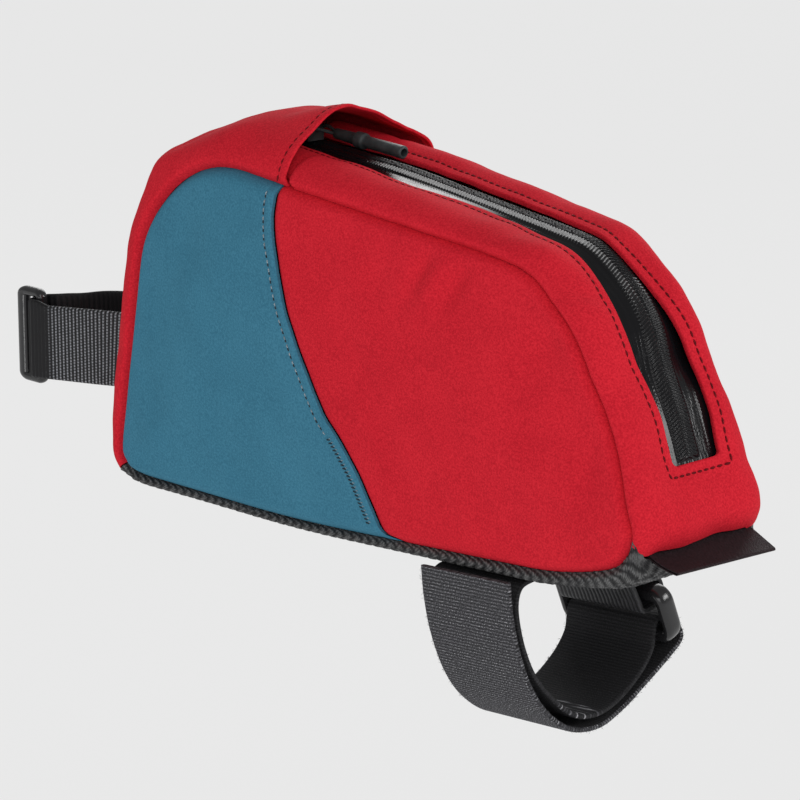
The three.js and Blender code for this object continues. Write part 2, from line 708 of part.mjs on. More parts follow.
// Two strands that run from the slider's eye into the bore of the pull.
function pullCord() {
  const eye = tapePoint(SLIDER.station, 0, SLIDER.clearance + SLIDER.plate + EYE.lift);
  const beside = SLIDER.width / 2 + CORD.radius + SEAM_GAP;
  const inside = PULL_START.clone().lerp(PULL_END, CORD.into);
  const spread = new THREE.Vector3(0, CORD.spread, 0);
  const fromEye = (x, y, z) => new THREE.Vector3(eye.x + x, y, eye.z + z);
  const route = new THREE.CatmullRomCurve3([
    inside.clone().sub(spread),
    PULL_START.clone().sub(spread),
    fromEye(CORD.bow, -beside * CORD.bowShare, CORD.bowLift),
    fromEye(CORD.turn, -beside, 0),
    fromEye(0, 0, 0),
    fromEye(CORD.turn, beside, 0),
    fromEye(CORD.bow, beside * CORD.bowShare, CORD.bowLift),
    PULL_START.clone().add(spread),
    inside.clone().add(spread),
  ]);
  const section = new THREE.Shape().absarc(0, 0, CORD.radius, 0, 2 * Math.PI);
  const settings = { extrudePath: route, steps: CORD_STEPS, curveSegments: CORD_CORNER_STEPS };
  return new THREE.ExtrudeGeometry(section, settings);
}

// Pull tube: a bored sleeve with a collar, turned about its own axis.
function pullTube() {
  const length = PULL_START.distanceTo(PULL_END);
  const outside = PULL_PROFILE.map(({ along, radius }) => new THREE.Vector2(radius, along * length));
  const bore = [new THREE.Vector2(PULL_BORE, length), new THREE.Vector2(PULL_BORE, 0)];
  const geometry = new THREE.LatheGeometry([...outside, ...bore, outside[0].clone()], TUBE_SIDES);
  const axis = PULL_END.clone().sub(PULL_START).normalize();
  geometry.applyQuaternion(new THREE.Quaternion().setFromUnitVectors(new THREE.Vector3(0, 1, 0), axis));
  geometry.translate(...PULL_START.toArray());
  return geometry;
}

// Label: a tab that stands out of the tail seam along the seam's own outward direction and curls up.
function endLabel() {
  const { point, normal } = seamAt(TAIL);
  const at = (side) => (i, j) => {
    const out = mix(LABEL.root, LABEL.reach, i / LABEL_STEPS.rows);
    const share = i === LABEL_STEPS.rows ? LABEL.nose : 1;
    const bent = Math.max(out - LABEL.level, 0) / (LABEL.reach - LABEL.level);
    const curl = LABEL.curl * (1 - j / LABEL_STEPS.columns) * bent ** 2;
    const lift = side * share * LABEL.thickness / 2 + curl;
    const x = point.x + normal.x * out - normal.y * lift;
    const z = point.y + normal.y * out + normal.x * lift;
    const y = LABEL.middle + mix(-LABEL.half, LABEL.half, j / LABEL_STEPS.columns);
    return new THREE.Vector3(x, y, z);
  };
  return wallGeometry(LABEL_STEPS.rows, LABEL_STEPS.columns, at(1), at(-1));
}

// Stem strap: the loop in plan carried up by the webbing's height, sheared to the leaning end wall.
function stemStrap() {
  const plan = new THREE.SplineCurve(STEM_LOOP.map(({ x, y }) => new THREE.Vector2(x, y)));
  const at = (side) => (i, j) => {
    const share = i / STEM_STEPS;
    const place = plan.getPointAt(share);
    const ahead = plan.getTangentAt(share);
    const up = (j - 0.5) * STEM_STRAP.height;
    const settle = 1 - smoothStep(-place.x / STEM_STRAP.settle);
    const x = STEM_STRAP.bagEnd + place.x + settle * STEM_STRAP.lean * up - ahead.y * side * WEBBING / 2;
    const y = place.y + ahead.x * side * WEBBING / 2;
    const sag = STEM_STRAP.droop * place.x + STEM_STRAP.roll * (place.y - STEM_LOOP[0].y);
    return new THREE.Vector3(x, y, STEM_STRAP.middle + up + sag);
  };
  return wallGeometry(STEM_STEPS, 1, at(1), at(-1));
}

function roundedRectangle(shape, width, height, radius) {
  const x = width / 2;
  const y = height / 2;
  shape.moveTo(-x + radius, -y);
  shape.lineTo(x - radius, -y);
  shape.absarc(x - radius, -y + radius, radius, -Math.PI / 2, 0);
  shape.lineTo(x, y - radius);
  shape.absarc(x - radius, y - radius, radius, 0, Math.PI / 2);
  shape.lineTo(-x + radius, y);
  shape.absarc(-x + radius, y - radius, radius, Math.PI / 2, Math.PI);
  shape.lineTo(-x, -y + radius);
  shape.absarc(-x + radius, -y + radius, radius, Math.PI, Math.PI * 1.5);
  return shape;
}

// A plate with one window and eased edges, centred on its own middle.
function windowPlate(outer, window, depth, ease) {
  const shape = roundedRectangle(new THREE.Shape(), outer.width, outer.height, outer.radius);
  shape.holes.push(roundedRectangle(new THREE.Path(), window.width, window.height, window.radius));
  const geometry = new THREE.ExtrudeGeometry(shape, {
    depth: depth - 2 * ease,
    bevelThickness: ease,
    bevelSize: ease,
    bevelOffset: -ease,
    bevelSegments: EASE_STEPS,
    curveSegments: CORNER_STEPS,
  });
  return geometry.translate(0, 0, ease - depth / 2);
}

function strapBuckle() {
  const outer = { width: BUCKLE.width, height: BUCKLE.height, radius: BUCKLE.corner };
  const window = {
    width: BUCKLE.width - 2 * BUCKLE.bar,
    height: BUCKLE.height - 2 * BUCKLE.cap,
    radius: BUCKLE.windowCorner,
  };
  const geometry = windowPlate(outer, window, BUCKLE.depth, BUCKLE.ease);
  geometry.rotateX(Math.PI / 2);
  return geometry.translate(BUCKLE.x, BUCKLE.y, BUCKLE.z);
}

// Places a piece drawn in the plane across the tube, tilted to follow the rising base.
function besideBase(geometry) {
  geometry.rotateY(THREE.MathUtils.degToRad(-STRAP_TILT));
  return geometry.translate(STRAP_MIDDLE, 0, STRAP_LIFT);
}

// A ribbon that follows a route across the tube and keeps its width along the tube.
function ribbonGeometry(route, thickness, width, steps) {
  const spline = new THREE.SplineCurve(route.map(({ y, z }) => new THREE.Vector2(y, z)));
  const edge = (side) => Array.from({ length: steps + 1 }, (_, k) => {
    const ahead = spline.getTangentAt(k / steps);
    const aside = new THREE.Vector2(-ahead.y, ahead.x).multiplyScalar(side * thickness / 2);
    return spline.getPointAt(k / steps).add(aside);
  });
  const shape = new THREE.Shape([...edge(1), ...edge(-1).reverse()]);
  const geometry = new THREE.ExtrudeGeometry(shape, { depth: width, bevelEnabled: false });
  geometry.translate(0, 0, -width / 2);
  const turn = new THREE.Matrix4().makeBasis(
    new THREE.Vector3(0, 1, 0),
    new THREE.Vector3(0, 0, 1),
    new THREE.Vector3(1, 0, 0),
  );
  return besideBase(geometry.applyMatrix4(turn));
}

function tubeStrap() {
  return ribbonGeometry(STRAP_ROUTE, STRAP_THICKNESS, STRAP_WIDTH, STRAP_STEPS);
}

function ringTab() {
  return ribbonGeometry(TAB_ROUTE, TAB_THICKNESS, TAB_WIDTH, TAB_STEPS);
}

function strapRing() {
  const outer = { width: RING.length, height: RING.height, radius: RING.corner };
  const window = {
    width: RING.length - 2 * RING.end,
    height: RING.height - 2 * RING.bar,
    radius: RING.windowCorner,
  };
  const geometry = windowPlate(outer, window, RING.depth, RING.ease);
  geometry.rotateX(Math.PI / 2 + THREE.MathUtils.degToRad(RING.lean));
  return besideBase(geometry.translate(RING.x, RING.y, RING.z));
}

SIDES.forEach(({ name, sign }) => {
  addPiece(`${name}_side_panel`, sidePanel(sign), RED_CLOTH);
  addPiece(`${name}_cover_panel`, coverPanel(sign), BLUE_CLOTH);
});
addPiece('hood_band', hoodBand(), RED_CLOTH);
addPiece('zip_band', zipBand(), RED_CLOTH);
addPiece('base_panel', basePanel(), BASE_CLOTH);
addPiece('zip_tape', zipTape(), COATED_TAPE);
addPiece('zip_slider', zipSlider(), BLACK_PLASTIC);
addPiece('pull_cord', pullCord(), WEBBING_CLOTH);
addPiece('pull_tube', pullTube(), GREY_RUBBER);
addPiece('end_label', endLabel(), LABEL_CLOTH);
addPiece('stem_strap', stemStrap(), WEBBING_CLOTH);
addPiece('strap_buckle', strapBuckle(), BLACK_PLASTIC);
addPiece('tube_strap', tubeStrap(), HOOK_AND_LOOP);
addPiece('ring_tab', ringTab(), WEBBING_CLOTH);
addPiece('strap_ring', strapRing(), BLACK_PLASTIC);

export default bag;
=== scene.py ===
# %% [markdown]
# This lesson dresses a bicycle top tube bag: a red and blue cloth body with a hooded zip, a webbing
# strap for the stem and a hook-and-loop strap for the tube. The solid model is loaded first, because
# every piece below sits where that model says, in metres and in the same frame.

# %% Load the frame
import math

import bpy
import numpy as np
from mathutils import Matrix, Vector


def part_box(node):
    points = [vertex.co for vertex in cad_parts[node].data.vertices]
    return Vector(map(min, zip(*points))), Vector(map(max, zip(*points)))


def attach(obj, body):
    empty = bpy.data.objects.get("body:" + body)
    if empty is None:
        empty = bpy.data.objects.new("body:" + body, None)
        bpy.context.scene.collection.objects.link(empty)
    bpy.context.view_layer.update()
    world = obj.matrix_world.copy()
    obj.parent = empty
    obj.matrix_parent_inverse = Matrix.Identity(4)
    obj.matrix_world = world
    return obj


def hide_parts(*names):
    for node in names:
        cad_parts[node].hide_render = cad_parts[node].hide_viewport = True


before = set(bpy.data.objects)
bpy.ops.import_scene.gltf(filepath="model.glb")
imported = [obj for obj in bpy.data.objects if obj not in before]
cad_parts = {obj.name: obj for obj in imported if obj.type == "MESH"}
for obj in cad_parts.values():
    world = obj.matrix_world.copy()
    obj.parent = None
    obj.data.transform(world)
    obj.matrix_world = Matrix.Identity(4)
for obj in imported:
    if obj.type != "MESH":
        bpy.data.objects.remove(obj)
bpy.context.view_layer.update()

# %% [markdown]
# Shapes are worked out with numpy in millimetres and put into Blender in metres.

MM = 0.001
ACROSS = np.array([0.0, 1.0, 0.0])
scene = bpy.context.scene

# %% [markdown]
# The camera stands a metre off the saddle end of the bag and a little above it, with a long lens, as
# a product photograph is taken. A long lens keeps parallel edges nearly parallel, so the straps do
# not grow towards the viewer. The picture is taken to be 800 pixels wide and as high.

# %% Camera
VIEW_AZIMUTH = math.radians(46)
VIEW_ELEVATION = math.radians(14)
VIEW_DISTANCE = 1.0
VIEW_TARGET = Vector((-0.008, 0.0, 0.040))
PICTURE_WIDTH = 800
PIXELS_PER_METRE = 3300
SENSOR = 36.0

back = Vector((
    math.sin(VIEW_AZIMUTH) * math.cos(VIEW_ELEVATION),
    -math.cos(VIEW_AZIMUTH) * math.cos(VIEW_ELEVATION),
    math.sin(VIEW_ELEVATION),
))
camera = bpy.data.objects.new("camera", bpy.data.cameras.new("camera"))
camera.data.sensor_width = SENSOR
camera.data.lens = SENSOR * PIXELS_PER_METRE * VIEW_DISTANCE / PICTURE_WIDTH
camera.location = VIEW_TARGET + back * VIEW_DISTANCE
camera.rotation_mode = "QUATERNION"
camera.rotation_quaternion = (-back).to_track_quat("-Z", "Y")
scene.collection.objects.link(camera)
scene.camera = camera
print("lens", round(camera.data.lens, 1), "mm")

# %% [markdown]
# Almost every surface here is a table of sections joined by a smooth curve. The curve is a cubic that
# never overshoots its rows, so a table of widths gives a bag without bumps between the rows.

# %% Curves through tables
def cubic(keys, values, at):
    """Cubic through rows, with slopes that are harmonic means of the rises beside a row, 0 at a turn."""
    keys = np.asarray(keys, float)
    values = np.asarray(values, float)
    rise = np.diff(values) / np.diff(keys)
    product = rise[:-1] * rise[1:]
    total = np.where(product > 0, rise[:-1] + rise[1:], 1)
    inner = np.where(product > 0, 2 * product / total, 0)
    slope = np.concatenate([rise[:1], inner, rise[-1:]])
    at = np.clip(at, keys[0], keys[-1])
    row = np.clip(np.searchsorted(keys, at, side="right") - 1, 0, len(keys) - 2)
    span = keys[row + 1] - keys[row]
    u = (at - keys[row]) / span
    keep = (1 + 2 * u) * (1 - u) ** 2
    bow = span * u * (1 - u) * ((1 - u) * slope[row] - u * slope[row + 1])
    return keep * values[row] + (1 - keep) * values[row + 1] + bow


def from_table(table, column, station):
    """A column of a table at stations, by the cubic through its rows."""
    return cubic(table["station"], table[column], station)


def smooth(share):
    """Rise from 0 to 1 with level ends: 3 t^2 - 2 t^3."""
    t = np.clip(share, 0, 1)
    return t * t * (3 - 2 * t)


def bell(distance, width):
    """Bell-shaped fall from 1: exp(-(distance / width)^2)."""
    return np.exp(-(distance / width) ** 2)


def swell(distance, width):
    """Smooth hump over a strip that begins at 0 and is so wide."""
    return smooth(1 - np.abs(distance - width / 2) / (width / 2))


def round_angles(count):
    """Equal steps of angle round a circle."""
    return np.linspace(0, 2 * np.pi, count, endpoint=False)


def spline(points, count):
    """Catmull-Rom curve through points, resampled at equal steps of its length."""
    points = np.asarray(points, float)
    last = len(points) - 1
    t = np.linspace(0, last, 40 * last + 1)
    i = np.minimum(t.astype(int), last - 1)
    u = (t - i)[:, None]
    before, after = points[np.maximum(i - 1, 0)], points[np.minimum(i + 2, last)]
    start, end = points[i], points[i + 1]
    v0, v1 = (end - before) / 2, (after - start) / 2
    curve = start + u * (v0 + u * (3 * (end - start) - 2 * v0 - v1 + u * (2 * (start - end) + v0 + v1)))
    return resample(curve, count)


def travelled(curve):
    """Length along a polyline from its start to each of its points."""
    return np.concatenate([[0], np.cumsum(np.linalg.norm(np.diff(curve, axis=0), axis=1))])


def places_at(at, travel, curve):
    """Rows of a polyline at given lengths along it."""
    return np.stack([np.interp(at, travel, curve[:, k]) for k in range(curve.shape[1])], axis=-1)


def resample(curve, count):
    """Points at equal steps along a polyline."""
    travel = travelled(curve)
    return places_at(np.linspace(0, travel[-1], count), travel, curve)


def unit(vectors):
    """Vectors of length one along the last axis."""
    return vectors / np.maximum(np.linalg.norm(vectors, axis=-1, keepdims=True), 1e-12)


# %% [markdown]
# The body hangs on one seam, the outline of each side. It is made of straight runs and arcs between
# six corners, and a station counts those corners along it: 0 at the foot of the stem end, 1 at the
# shoulder, 2 at the knee over the saddle end, 3 at the tail, 4 and 5 along the base.

# %% The seam
CORNERS = np.array([  # x, z and rounding radius of foot, shoulder, knee, tail, keel and belly
    (-111.6, 3.4, 6),
    (-88.9, 113.2, 46),
    (83.9, 94.2, 40),
    (112.7, 20.2, 10),
    (84.0, 10.7, 120),
    (-30.0, 3.4, 700),
])
FOOT, SHOULDER, KNEE, TAIL, FOOT_AGAIN = 0, 1, 2, 3, 6
RIM = 1.327
DRAWN_IN = {  # how far the seam is pulled in from its corners, negative if let out
    "station": (0, 0.1, 0.7, 1, 1.78, 1.9, 2, 2.2, 2.6, 3.1, 3.4, 5.85, 6),
    "inset": (0, -1.4, -1.4, 0, 0, 0.8, 3.2, 3, 0, 0, -1, -1, 0),
}

place, radius = CORNERS[:, :2], CORNERS[:, 2]
into = unit(place - np.roll(place, 1, axis=0))
onward = np.roll(into, -1, axis=0)
turn = np.arccos((into * onward).sum(axis=1))
reach = radius * np.tan(turn / 2)
centre = place - into * reach[:, None] + np.stack([into[:, 1], -into[:, 0]], axis=1) * radius[:, None]
heading = np.arctan2(into[:, 1], into[:, 0])
arc = radius * turn
straight = np.linalg.norm(np.roll(place, -1, axis=0) - place, axis=1) - reach - np.roll(reach, -1)
stretch = arc / 2 + straight + np.roll(arc, -1) / 2


def seam_at(station):
    """Point and normal of the seam, on a corner's arc or the line between two, drawn in or let out."""
    corner = np.floor(station).astype(int) % len(CORNERS)
    follow = (corner + 1) % len(CORNERS)
    along = (station - np.floor(station)) * stretch[corner]
    half = arc[corner] / 2
    late = along >= half + straight[corner]
    which = np.where(late, follow, corner)
    early_angle = turn[corner] / 2 + along / radius[corner]
    late_angle = (along - half - straight[corner]) / radius[follow]
    course = heading[which] - np.where(late, late_angle, early_angle)
    bent_normal = np.stack([-np.sin(course), np.cos(course)], axis=-1)
    bent = centre[which] + bent_normal * radius[which][..., None]
    level_normal = np.stack([-onward[corner][..., 1], onward[corner][..., 0]], axis=-1)
    level = place[corner] + onward[corner] * (reach[corner] + along - half)[..., None]
    on_arc = (late | (along <= half))[..., None]
    normal = np.where(on_arc, bent_normal, level_normal)
    inset = from_table(DRAWN_IN, "inset", station)[..., None]
    return np.where(on_arc, bent, level) - normal * inset, normal


def past(station, distance):
    """Station that lies a distance further along the seam, or back along it if negative."""
    corner = math.ceil(station) - 1 if distance < 0 else math.floor(station)
    return station + distance / stretch[corner % len(CORNERS)]


print("seam length", round(float(stretch.sum())), "mm")

# %% [markdown]
# A cloth piece is a thin slab: an outer grid of points, the same grid pushed in by the thickness of
# the cloth, and a wall along every free edge. Building the slab here, rather than with a modifier,
# keeps the hem and the zip slot exact. Its texture map is laid out in real lengths, so that a weave
# has the same size on every piece.

# %% Meshes from grids
SHARP_FROM = math.radians(50)


def put_mesh(name, points, faces, uv=None):
    """An object at the origin from points in millimetres, with a texture map from one row per vertex."""
    mesh = bpy.data.meshes.new(name)
    mesh.from_pydata((points.reshape(-1, 3) * MM).tolist(), [], faces)
    if uv is not None:
        corner = np.zeros(len(mesh.loops), np.int32)
        mesh.loops.foreach_get("vertex_index", corner)
        layer = mesh.uv_layers.new(name="UVMap")
        layer.data.foreach_set("uv", (uv.reshape(-1, 2)[corner] * MM).astype(np.float32).ravel())
    mesh.shade_smooth()
    mesh.set_sharp_from_angle(angle=SHARP_FROM)
    piece = bpy.data.objects.new(name, mesh)
    scene.collection.objects.link(piece)
    return piece


def dress(piece, material, slot, *nodes):
    """Gives a piece its material and says which body and solids it belongs to; the slot argument is not used.
    """
    piece.data.materials.append(material)
    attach(piece, "root")
    if nodes:
        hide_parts(*nodes)
    print(piece.name, "has", len(piece.data.polygons), "faces")
    return piece


def normals_of(grid):
    """Normals of a grid from the cross product of its two directions."""
    return unit(np.cross(np.gradient(grid, axis=0), np.gradient(grid, axis=1)))


def lengths_of(grid):
    """Texture coordinates of a grid: distance along its columns and along its rows."""
    row_steps, column_steps = (np.linalg.norm(np.diff(grid, axis=axis), axis=2) for axis in (0, 1))
    down = np.cumsum(np.pad(row_steps, ((1, 0), (0, 0))), axis=0)
    over = np.cumsum(np.pad(column_steps, ((0, 0), (1, 0))), axis=1)
    return np.stack([down, over - over[:, -1:] / 2], axis=-1)


def slab(name, outer, inner, solid=None):
    """Closed slab between two grids; cells that are not solid stay open and get walls round them."""
    rows, columns = outer.shape[:2]
    if solid is None:
        solid = np.ones((rows - 1, columns - 1), bool)
    index = np.arange(rows * columns).reshape(rows, columns)
    ring = [index[:-1, :-1], index[1:, :-1], index[1:, 1:], index[:-1, 1:]]
    known = np.pad(solid, 1)
    beyond = [known[1:-1, :-2], known[2:, 1:-1], known[1:-1, 2:], known[:-2, 1:-1]]
    under = rows * columns
    quads = [np.stack(ring, axis=-1)[solid], np.stack(ring[::-1], axis=-1)[solid] + under]
    for side in range(4):
        edge = solid & ~beyond[side]
        start, end = ring[side][edge], ring[(side + 1) % 4][edge]
        quads.append(np.stack([end, start, start + under, end + under], axis=-1))
    used, faces = np.unique(np.concatenate(quads), return_inverse=True)
    points = np.concatenate([outer.reshape(-1, 3), inner.reshape(-1, 3)])[used]
    uv = np.tile(lengths_of(outer).reshape(-1, 2), (2, 1))[used]
    return put_mesh(name, points, faces.reshape(-1, 4).tolist(), uv)


def tube(name, grid, uv=None, ends=True):
    """A grid whose columns close on themselves, with flat caps at its ends or joined end to end."""
    rows, columns = grid.shape[:2]
    index = np.arange(rows * columns).reshape(rows, columns)
    turned = np.roll(index, -1, axis=1)
    faces = np.stack([index, np.roll(index, -1, axis=0), np.roll(turned, -1, axis=0), turned], axis=-1)
    faces = (faces[:-1] if ends else faces).reshape(-1, 4)
    corners = grid.reshape(-1, 3)[faces]
    facing = np.cross(corners[:, 2] - corners[:, 0], corners[:, 3] - corners[:, 1])
    volume = (corners.mean(axis=1) * facing).sum()
    caps = [index[0].tolist(), index[-1, ::-1].tolist()] if ends else []
    if volume < 0:
        faces = faces[:, ::-1]
        caps = [cap[::-1] for cap in caps]
    return put_mesh(name, grid, faces.tolist() + caps, uv)


def small_tubes(name, points):
    """One mesh of many capped tubes, from points by tube, ring and place round the ring."""
    count, rings, sides = points.shape[:3]
    index = np.arange(rings * sides).reshape(rings, sides)
    turned = np.roll(index, -1, axis=1)
    quads = np.stack([index[:-1], turned[:-1], turned[1:], index[1:]], axis=-1).reshape(-1, 4)
    start = np.arange(count)[:, None, None] * rings * sides
    faces = (quads + start).reshape(-1, 4).tolist()
    faces += (index[0][::-1] + start[:, 0]).tolist() + (index[-1] + start[:, 0]).tolist()
    return put_mesh(name, points, faces)


# %% [markdown]
# Each material is one Principled shader. Whatever is the same all over goes straight onto its
# sockets; only what varies, such as the mottle of the dye or the bump of the weave, comes from nodes.

# %% Material helpers
def new_material(name, **sockets):
    """A material whose shader sockets hold the given constants; returns it with its tree and shader."""
    material = bpy.data.materials.new(name)
    material.use_nodes = True
    shader = material.node_tree.nodes["Principled BSDF"]
    for socket, value in sockets.items():
        shader.inputs[socket.replace("_", " ")].default_value = value
    return material, material.node_tree, shader


def add(tree, kind, inputs=None, **settings):
    """A node with its settings, and inputs that are numbers, colours or other nodes' outputs."""
    made = tree.nodes.new("ShaderNode" + kind)
    for key, value in settings.items():
        setattr(made, key, value)
    for key, value in (inputs or {}).items():
        if isinstance(value, bpy.types.NodeSocket):
            tree.links.new(value, made.inputs[key])
        else:
            made.inputs[key].default_value = value
    return made


def maths(tree, operation, first, second=0.0):
    """One arithmetic step on two numbers or outputs."""
    return add(tree, "Math", {0: first, 1: second}, operation=operation).outputs[0]


def plus(tree, first, second):
    """Sum of two numbers or outputs."""
    return maths(tree, "ADD", first, second)


def times(tree, first, second):
    """Product of two numbers or outputs."""
    return maths(tree, "MULTIPLY", first, second)


def carry(tree, factor, low, high, to_low, to_high):
    """A factor carried from one range to another and held within it."""
    return add(tree, "MapRange", {0: factor, 1: low, 2: high, 3: to_low, 4: to_high}).outputs[0]


def noise(tree, coordinates, scale, detail=2.0):
    """Soft noise with features about 1 / scale metres across."""
    return add(tree, "TexNoise", {"Vector": coordinates, "Scale": scale, "Detail": detail}).outputs["Fac"]


def ramp(tree, factor, *stops):
    """Colours along a factor, each stop a position and a linear colour."""
    made = add(tree, "ValToRGB", {"Fac": factor})
    elements = made.color_ramp.elements
    while len(elements) < len(stops):
        elements.new(0.5)
    for element, (position, colour) in zip(elements, stops):
        element.position = position
        element.color = (*colour, 1)
    return made.outputs["Color"]


def dye(tree, shader, factor, *stops):
    """Base colour that follows a ramp along a factor."""
    tree.links.new(ramp(tree, factor, *stops), shader.inputs["Base Color"])


def gloss(tree, shader, factor, smoothest, dullest):
    """Roughness that follows a noise between two values."""
    tree.links.new(carry(tree, factor, 0.3, 0.7, smoothest, dullest), shader.inputs["Roughness"])


def bump(tree, shader, height, depth):
    """Bump of a given depth in metres from a height between 0 and 1."""
    made = add(tree, "Bump", {"Height": height, "Distance": depth, "Strength": 1.0})
    tree.links.new(made.outputs["Normal"], shader.inputs["Normal"])


def object_place(tree):
    """Object coordinates, in metres."""
    return add(tree, "TexCoord").outputs["Object"]


def map_place(tree):
    """The texture map's two lengths, in metres."""
    parts = add(tree, "SeparateXYZ", {0: add(tree, "TexCoord").outputs["UV"]})
    return parts.outputs[0], parts.outputs[1]


def wave(tree, length, pitch, phase=0.0):
    """Sine of a length, with one full wave in each pitch."""
    turned = maths(tree, "MULTIPLY_ADD", length, 2 * math.pi / pitch)
    turned.node.inputs[2].default_value = phase
    return maths(tree, "SINE", turned)


# %% [markdown]
# The body cloth is a fine plain weave with a matt coating. From a metre away the threads run together
# into a slightly mottled colour, so the dye varies softly and the weave is only bump.

# %% Body cloth
WEAVE_PITCH = 0.7 * MM
WEAVE_DEPTH = 0.03 * MM


def body_cloth(name, light, dark, deep):
    """Plain-woven cloth: finely mottled dye and a plain weave as the product of two waves."""
    material, tree, shader = new_material(name, Roughness=0.85, Specular_IOR_Level=0.08)
    where = object_place(tree)
    u, v = map_place(tree)
    weave = times(tree, wave(tree, u, WEAVE_PITCH), wave(tree, v, WEAVE_PITCH))
    grain = noise(tree, where, 1700, 2)
    tone = plus(tree, times(tree, grain, 0.8), times(tree, noise(tree, where, 60, 2), 0.2))
    dye(tree, shader, tone, (0.36, deep), (0.5, dark), (0.64, light))
    bump(tree, shader, plus(tree, times(tree, weave, 0.4), grain), WEAVE_DEPTH)
    return material


red_cloth = body_cloth("red_cloth", (0.65, 0.020, 0.034), (0.565, 0.014, 0.027), (0.47, 0.010, 0.021))
blue_cloth = body_cloth("blue_cloth", (0.054, 0.198, 0.292), (0.044, 0.172, 0.258), (0.036, 0.146, 0.224))

# %% [markdown]
# Soft cloth is never quite flat. A cloth simulation could crease it, but not in chosen places. Here a
# few long waves give it a gentle unevenness, and each fold is a bell-shaped dent along a line, set
# where the sewing gathers the cloth.

# %% Unevenness and folds
RIPPLES = (  # half waves per millimetre along x, y and z, with height in millimetres and phase
    (0.071, 0.043, 0.052, 0.10, 0.3),
    (-0.047, 0.083, 0.091, 0.08, 1.9),
    (0.127, -0.064, 0.058, 0.06, 4.1),
    (0.083, 0.071, -0.149, 0.05, 2.6),
    (0.201, 0.133, 0.177, 0.03, 5.2),
)


def unevenness(points):
    """Sum of slanted sine waves."""
    waves = np.array(RIPPLES)
    angle = points @ (np.pi * waves[:, :3].T) + waves[:, 4]
    return (np.sin(angle) * waves[:, 3]).sum(axis=-1)


def folds_at(first, second, folds):
    """Sum of dents: depth times exp(-(along/length)^2 - (beside/width)^2) for each fold."""
    total = np.zeros(np.broadcast(first, second).shape)
    for at_first, at_second, lean, length, width, depth in folds:
        angle = math.radians(lean)
        along = math.sin(angle) * (first - at_first) + math.cos(angle) * (second - at_second)
        beside = math.cos(angle) * (first - at_first) - math.sin(angle) * (second - at_second)
        total = total + depth * np.exp(-(along / length) ** 2 - (beside / width) ** 2)
    return total


# %% [markdown]
# The bands wrap over the seam from one side to the other. Across a band the cloth is flat in the
# middle and turns down over an elliptical shoulder to the seam on each side. The edge is rolled in
# where it is sewn, which leaves the narrow dark groove of a real seam.

# %% Bands
WALL = 1.0
SEAM_GAP = 0.4
SEAM_ROLL = 2.4
SEAM_ROLL_REACH = 1.45
SEAM_LINE = 0.42
PUCKER = 0.06
PUCKER_PITCH = 6.5
PUCKER_DRIFT = 11.0
PUCKER_REACH = 5.0
HALF_WIDTHS = {
    "station": (0, 0.3, 0.65, 1, RIM, 1.6, 1.82, 2, 2.42, 2.7, 2.92, 3, 4, 6),
    "half": (26, 26.6, 27.4, 28.4, 29.4, 28.2, 26.6, 22.8, 23.4, 25.6, 27.2, 27.2, 26.5, 26),
}
NEAR_FULLER = {"station": (0, 1.76, 1.9, 2, 2.25, 2.7, 6), "extra": (0, 0, 0.8, 2.8, 2.4, 0, 0)}
SLOT_HALF = 8.3
SLOT_END = 2.727
SLOT_ROUNDING = 1.6
DIP_REACH = 9.0
NEAR_DIP_REACH = 15.0
LIP_ROOM = 4.0
SLOT_SHARE, FLAT_SHARE = 0.25, 0.5
LIP_CROWDING = 1.5


def half_width(station, side):
    """Half the width of the bag at a station, a little more on the near side of the knee."""
    fuller = from_table(NEAR_FULLER, "extra", station)
    return from_table(HALF_WIDTHS, "half", station) + np.where(side < 0, fuller, 0)


def off_seam(station, y, rise):
    """Points beside the seam: a rise along its normal and a place across the bag."""
    point, normal = seam_at(station)
    return np.stack([point[..., 0] + normal[..., 0] * rise, y, point[..., 1] + normal[..., 1] * rise], axis=-1)


def band_point(sections, station, y, tuck=0.0):
    """Seam point moved out by crown * sqrt(1 - b^2) less the dip, b the share of |y| past the flat."""
    half = half_width(station, y) - tuck
    flat = from_table(sections, "flat", station) * half
    crown = from_table(sections, "crown", station)
    bend = np.clip((np.abs(y) - flat) / (half - flat), 0, 1)
    rise = crown * np.sqrt(1 - bend ** 2)
    if "dip" in sections:
        dip = from_table(sections, "dip", station)
        rise = rise - dip * (1 - smooth((np.abs(y) - SLOT_HALF) / np.where(y < 0, NEAR_DIP_REACH, DIP_REACH)))
    return off_seam(station, y, rise)


def across_band(sections, station, share, tuck=0.0, slot=None):
    """Sideways place for a share from -1 to 1: the flat, or slot edge to flat, and then the shoulder."""
    half = half_width(station, share) - tuck
    flat = from_table(sections, "flat", station) * half
    part = np.abs(share)
    level = flat * part / FLAT_SHARE
    if slot is not None:
        flat = np.maximum(flat, slot + LIP_ROOM)
        lip = np.clip((part - SLOT_SHARE) / (FLAT_SHARE - SLOT_SHARE), 0, 1) ** LIP_CROWDING
        level = np.where(part < SLOT_SHARE, slot * part / SLOT_SHARE, slot + (flat - slot) * lip)
    shoulder = np.clip((part - FLAT_SHARE) / (1 - FLAT_SHARE), 0, 1)
    bent = flat + (half - flat) * np.sin(shoulder * np.pi / 2)
    return np.sign(share) * np.where(part < FLAT_SHARE, level, bent)


def sewn_edges(grid):
    """How far a band sinks near its seams: a roll at the very edge and small puckers beside it."""
    over = lengths_of(grid)
    distance = np.maximum(np.abs(over[:, :1, 1]) - np.abs(over[..., 1]), 0)
    along = over[..., 0]
    roll = SEAM_ROLL * bell(distance, SEAM_ROLL_REACH)
    ripple = np.sin(2 * np.pi * along / PUCKER_PITCH + np.sin(along / PUCKER_DRIFT))
    return roll + PUCKER * ripple * np.exp(-distance / PUCKER_REACH)


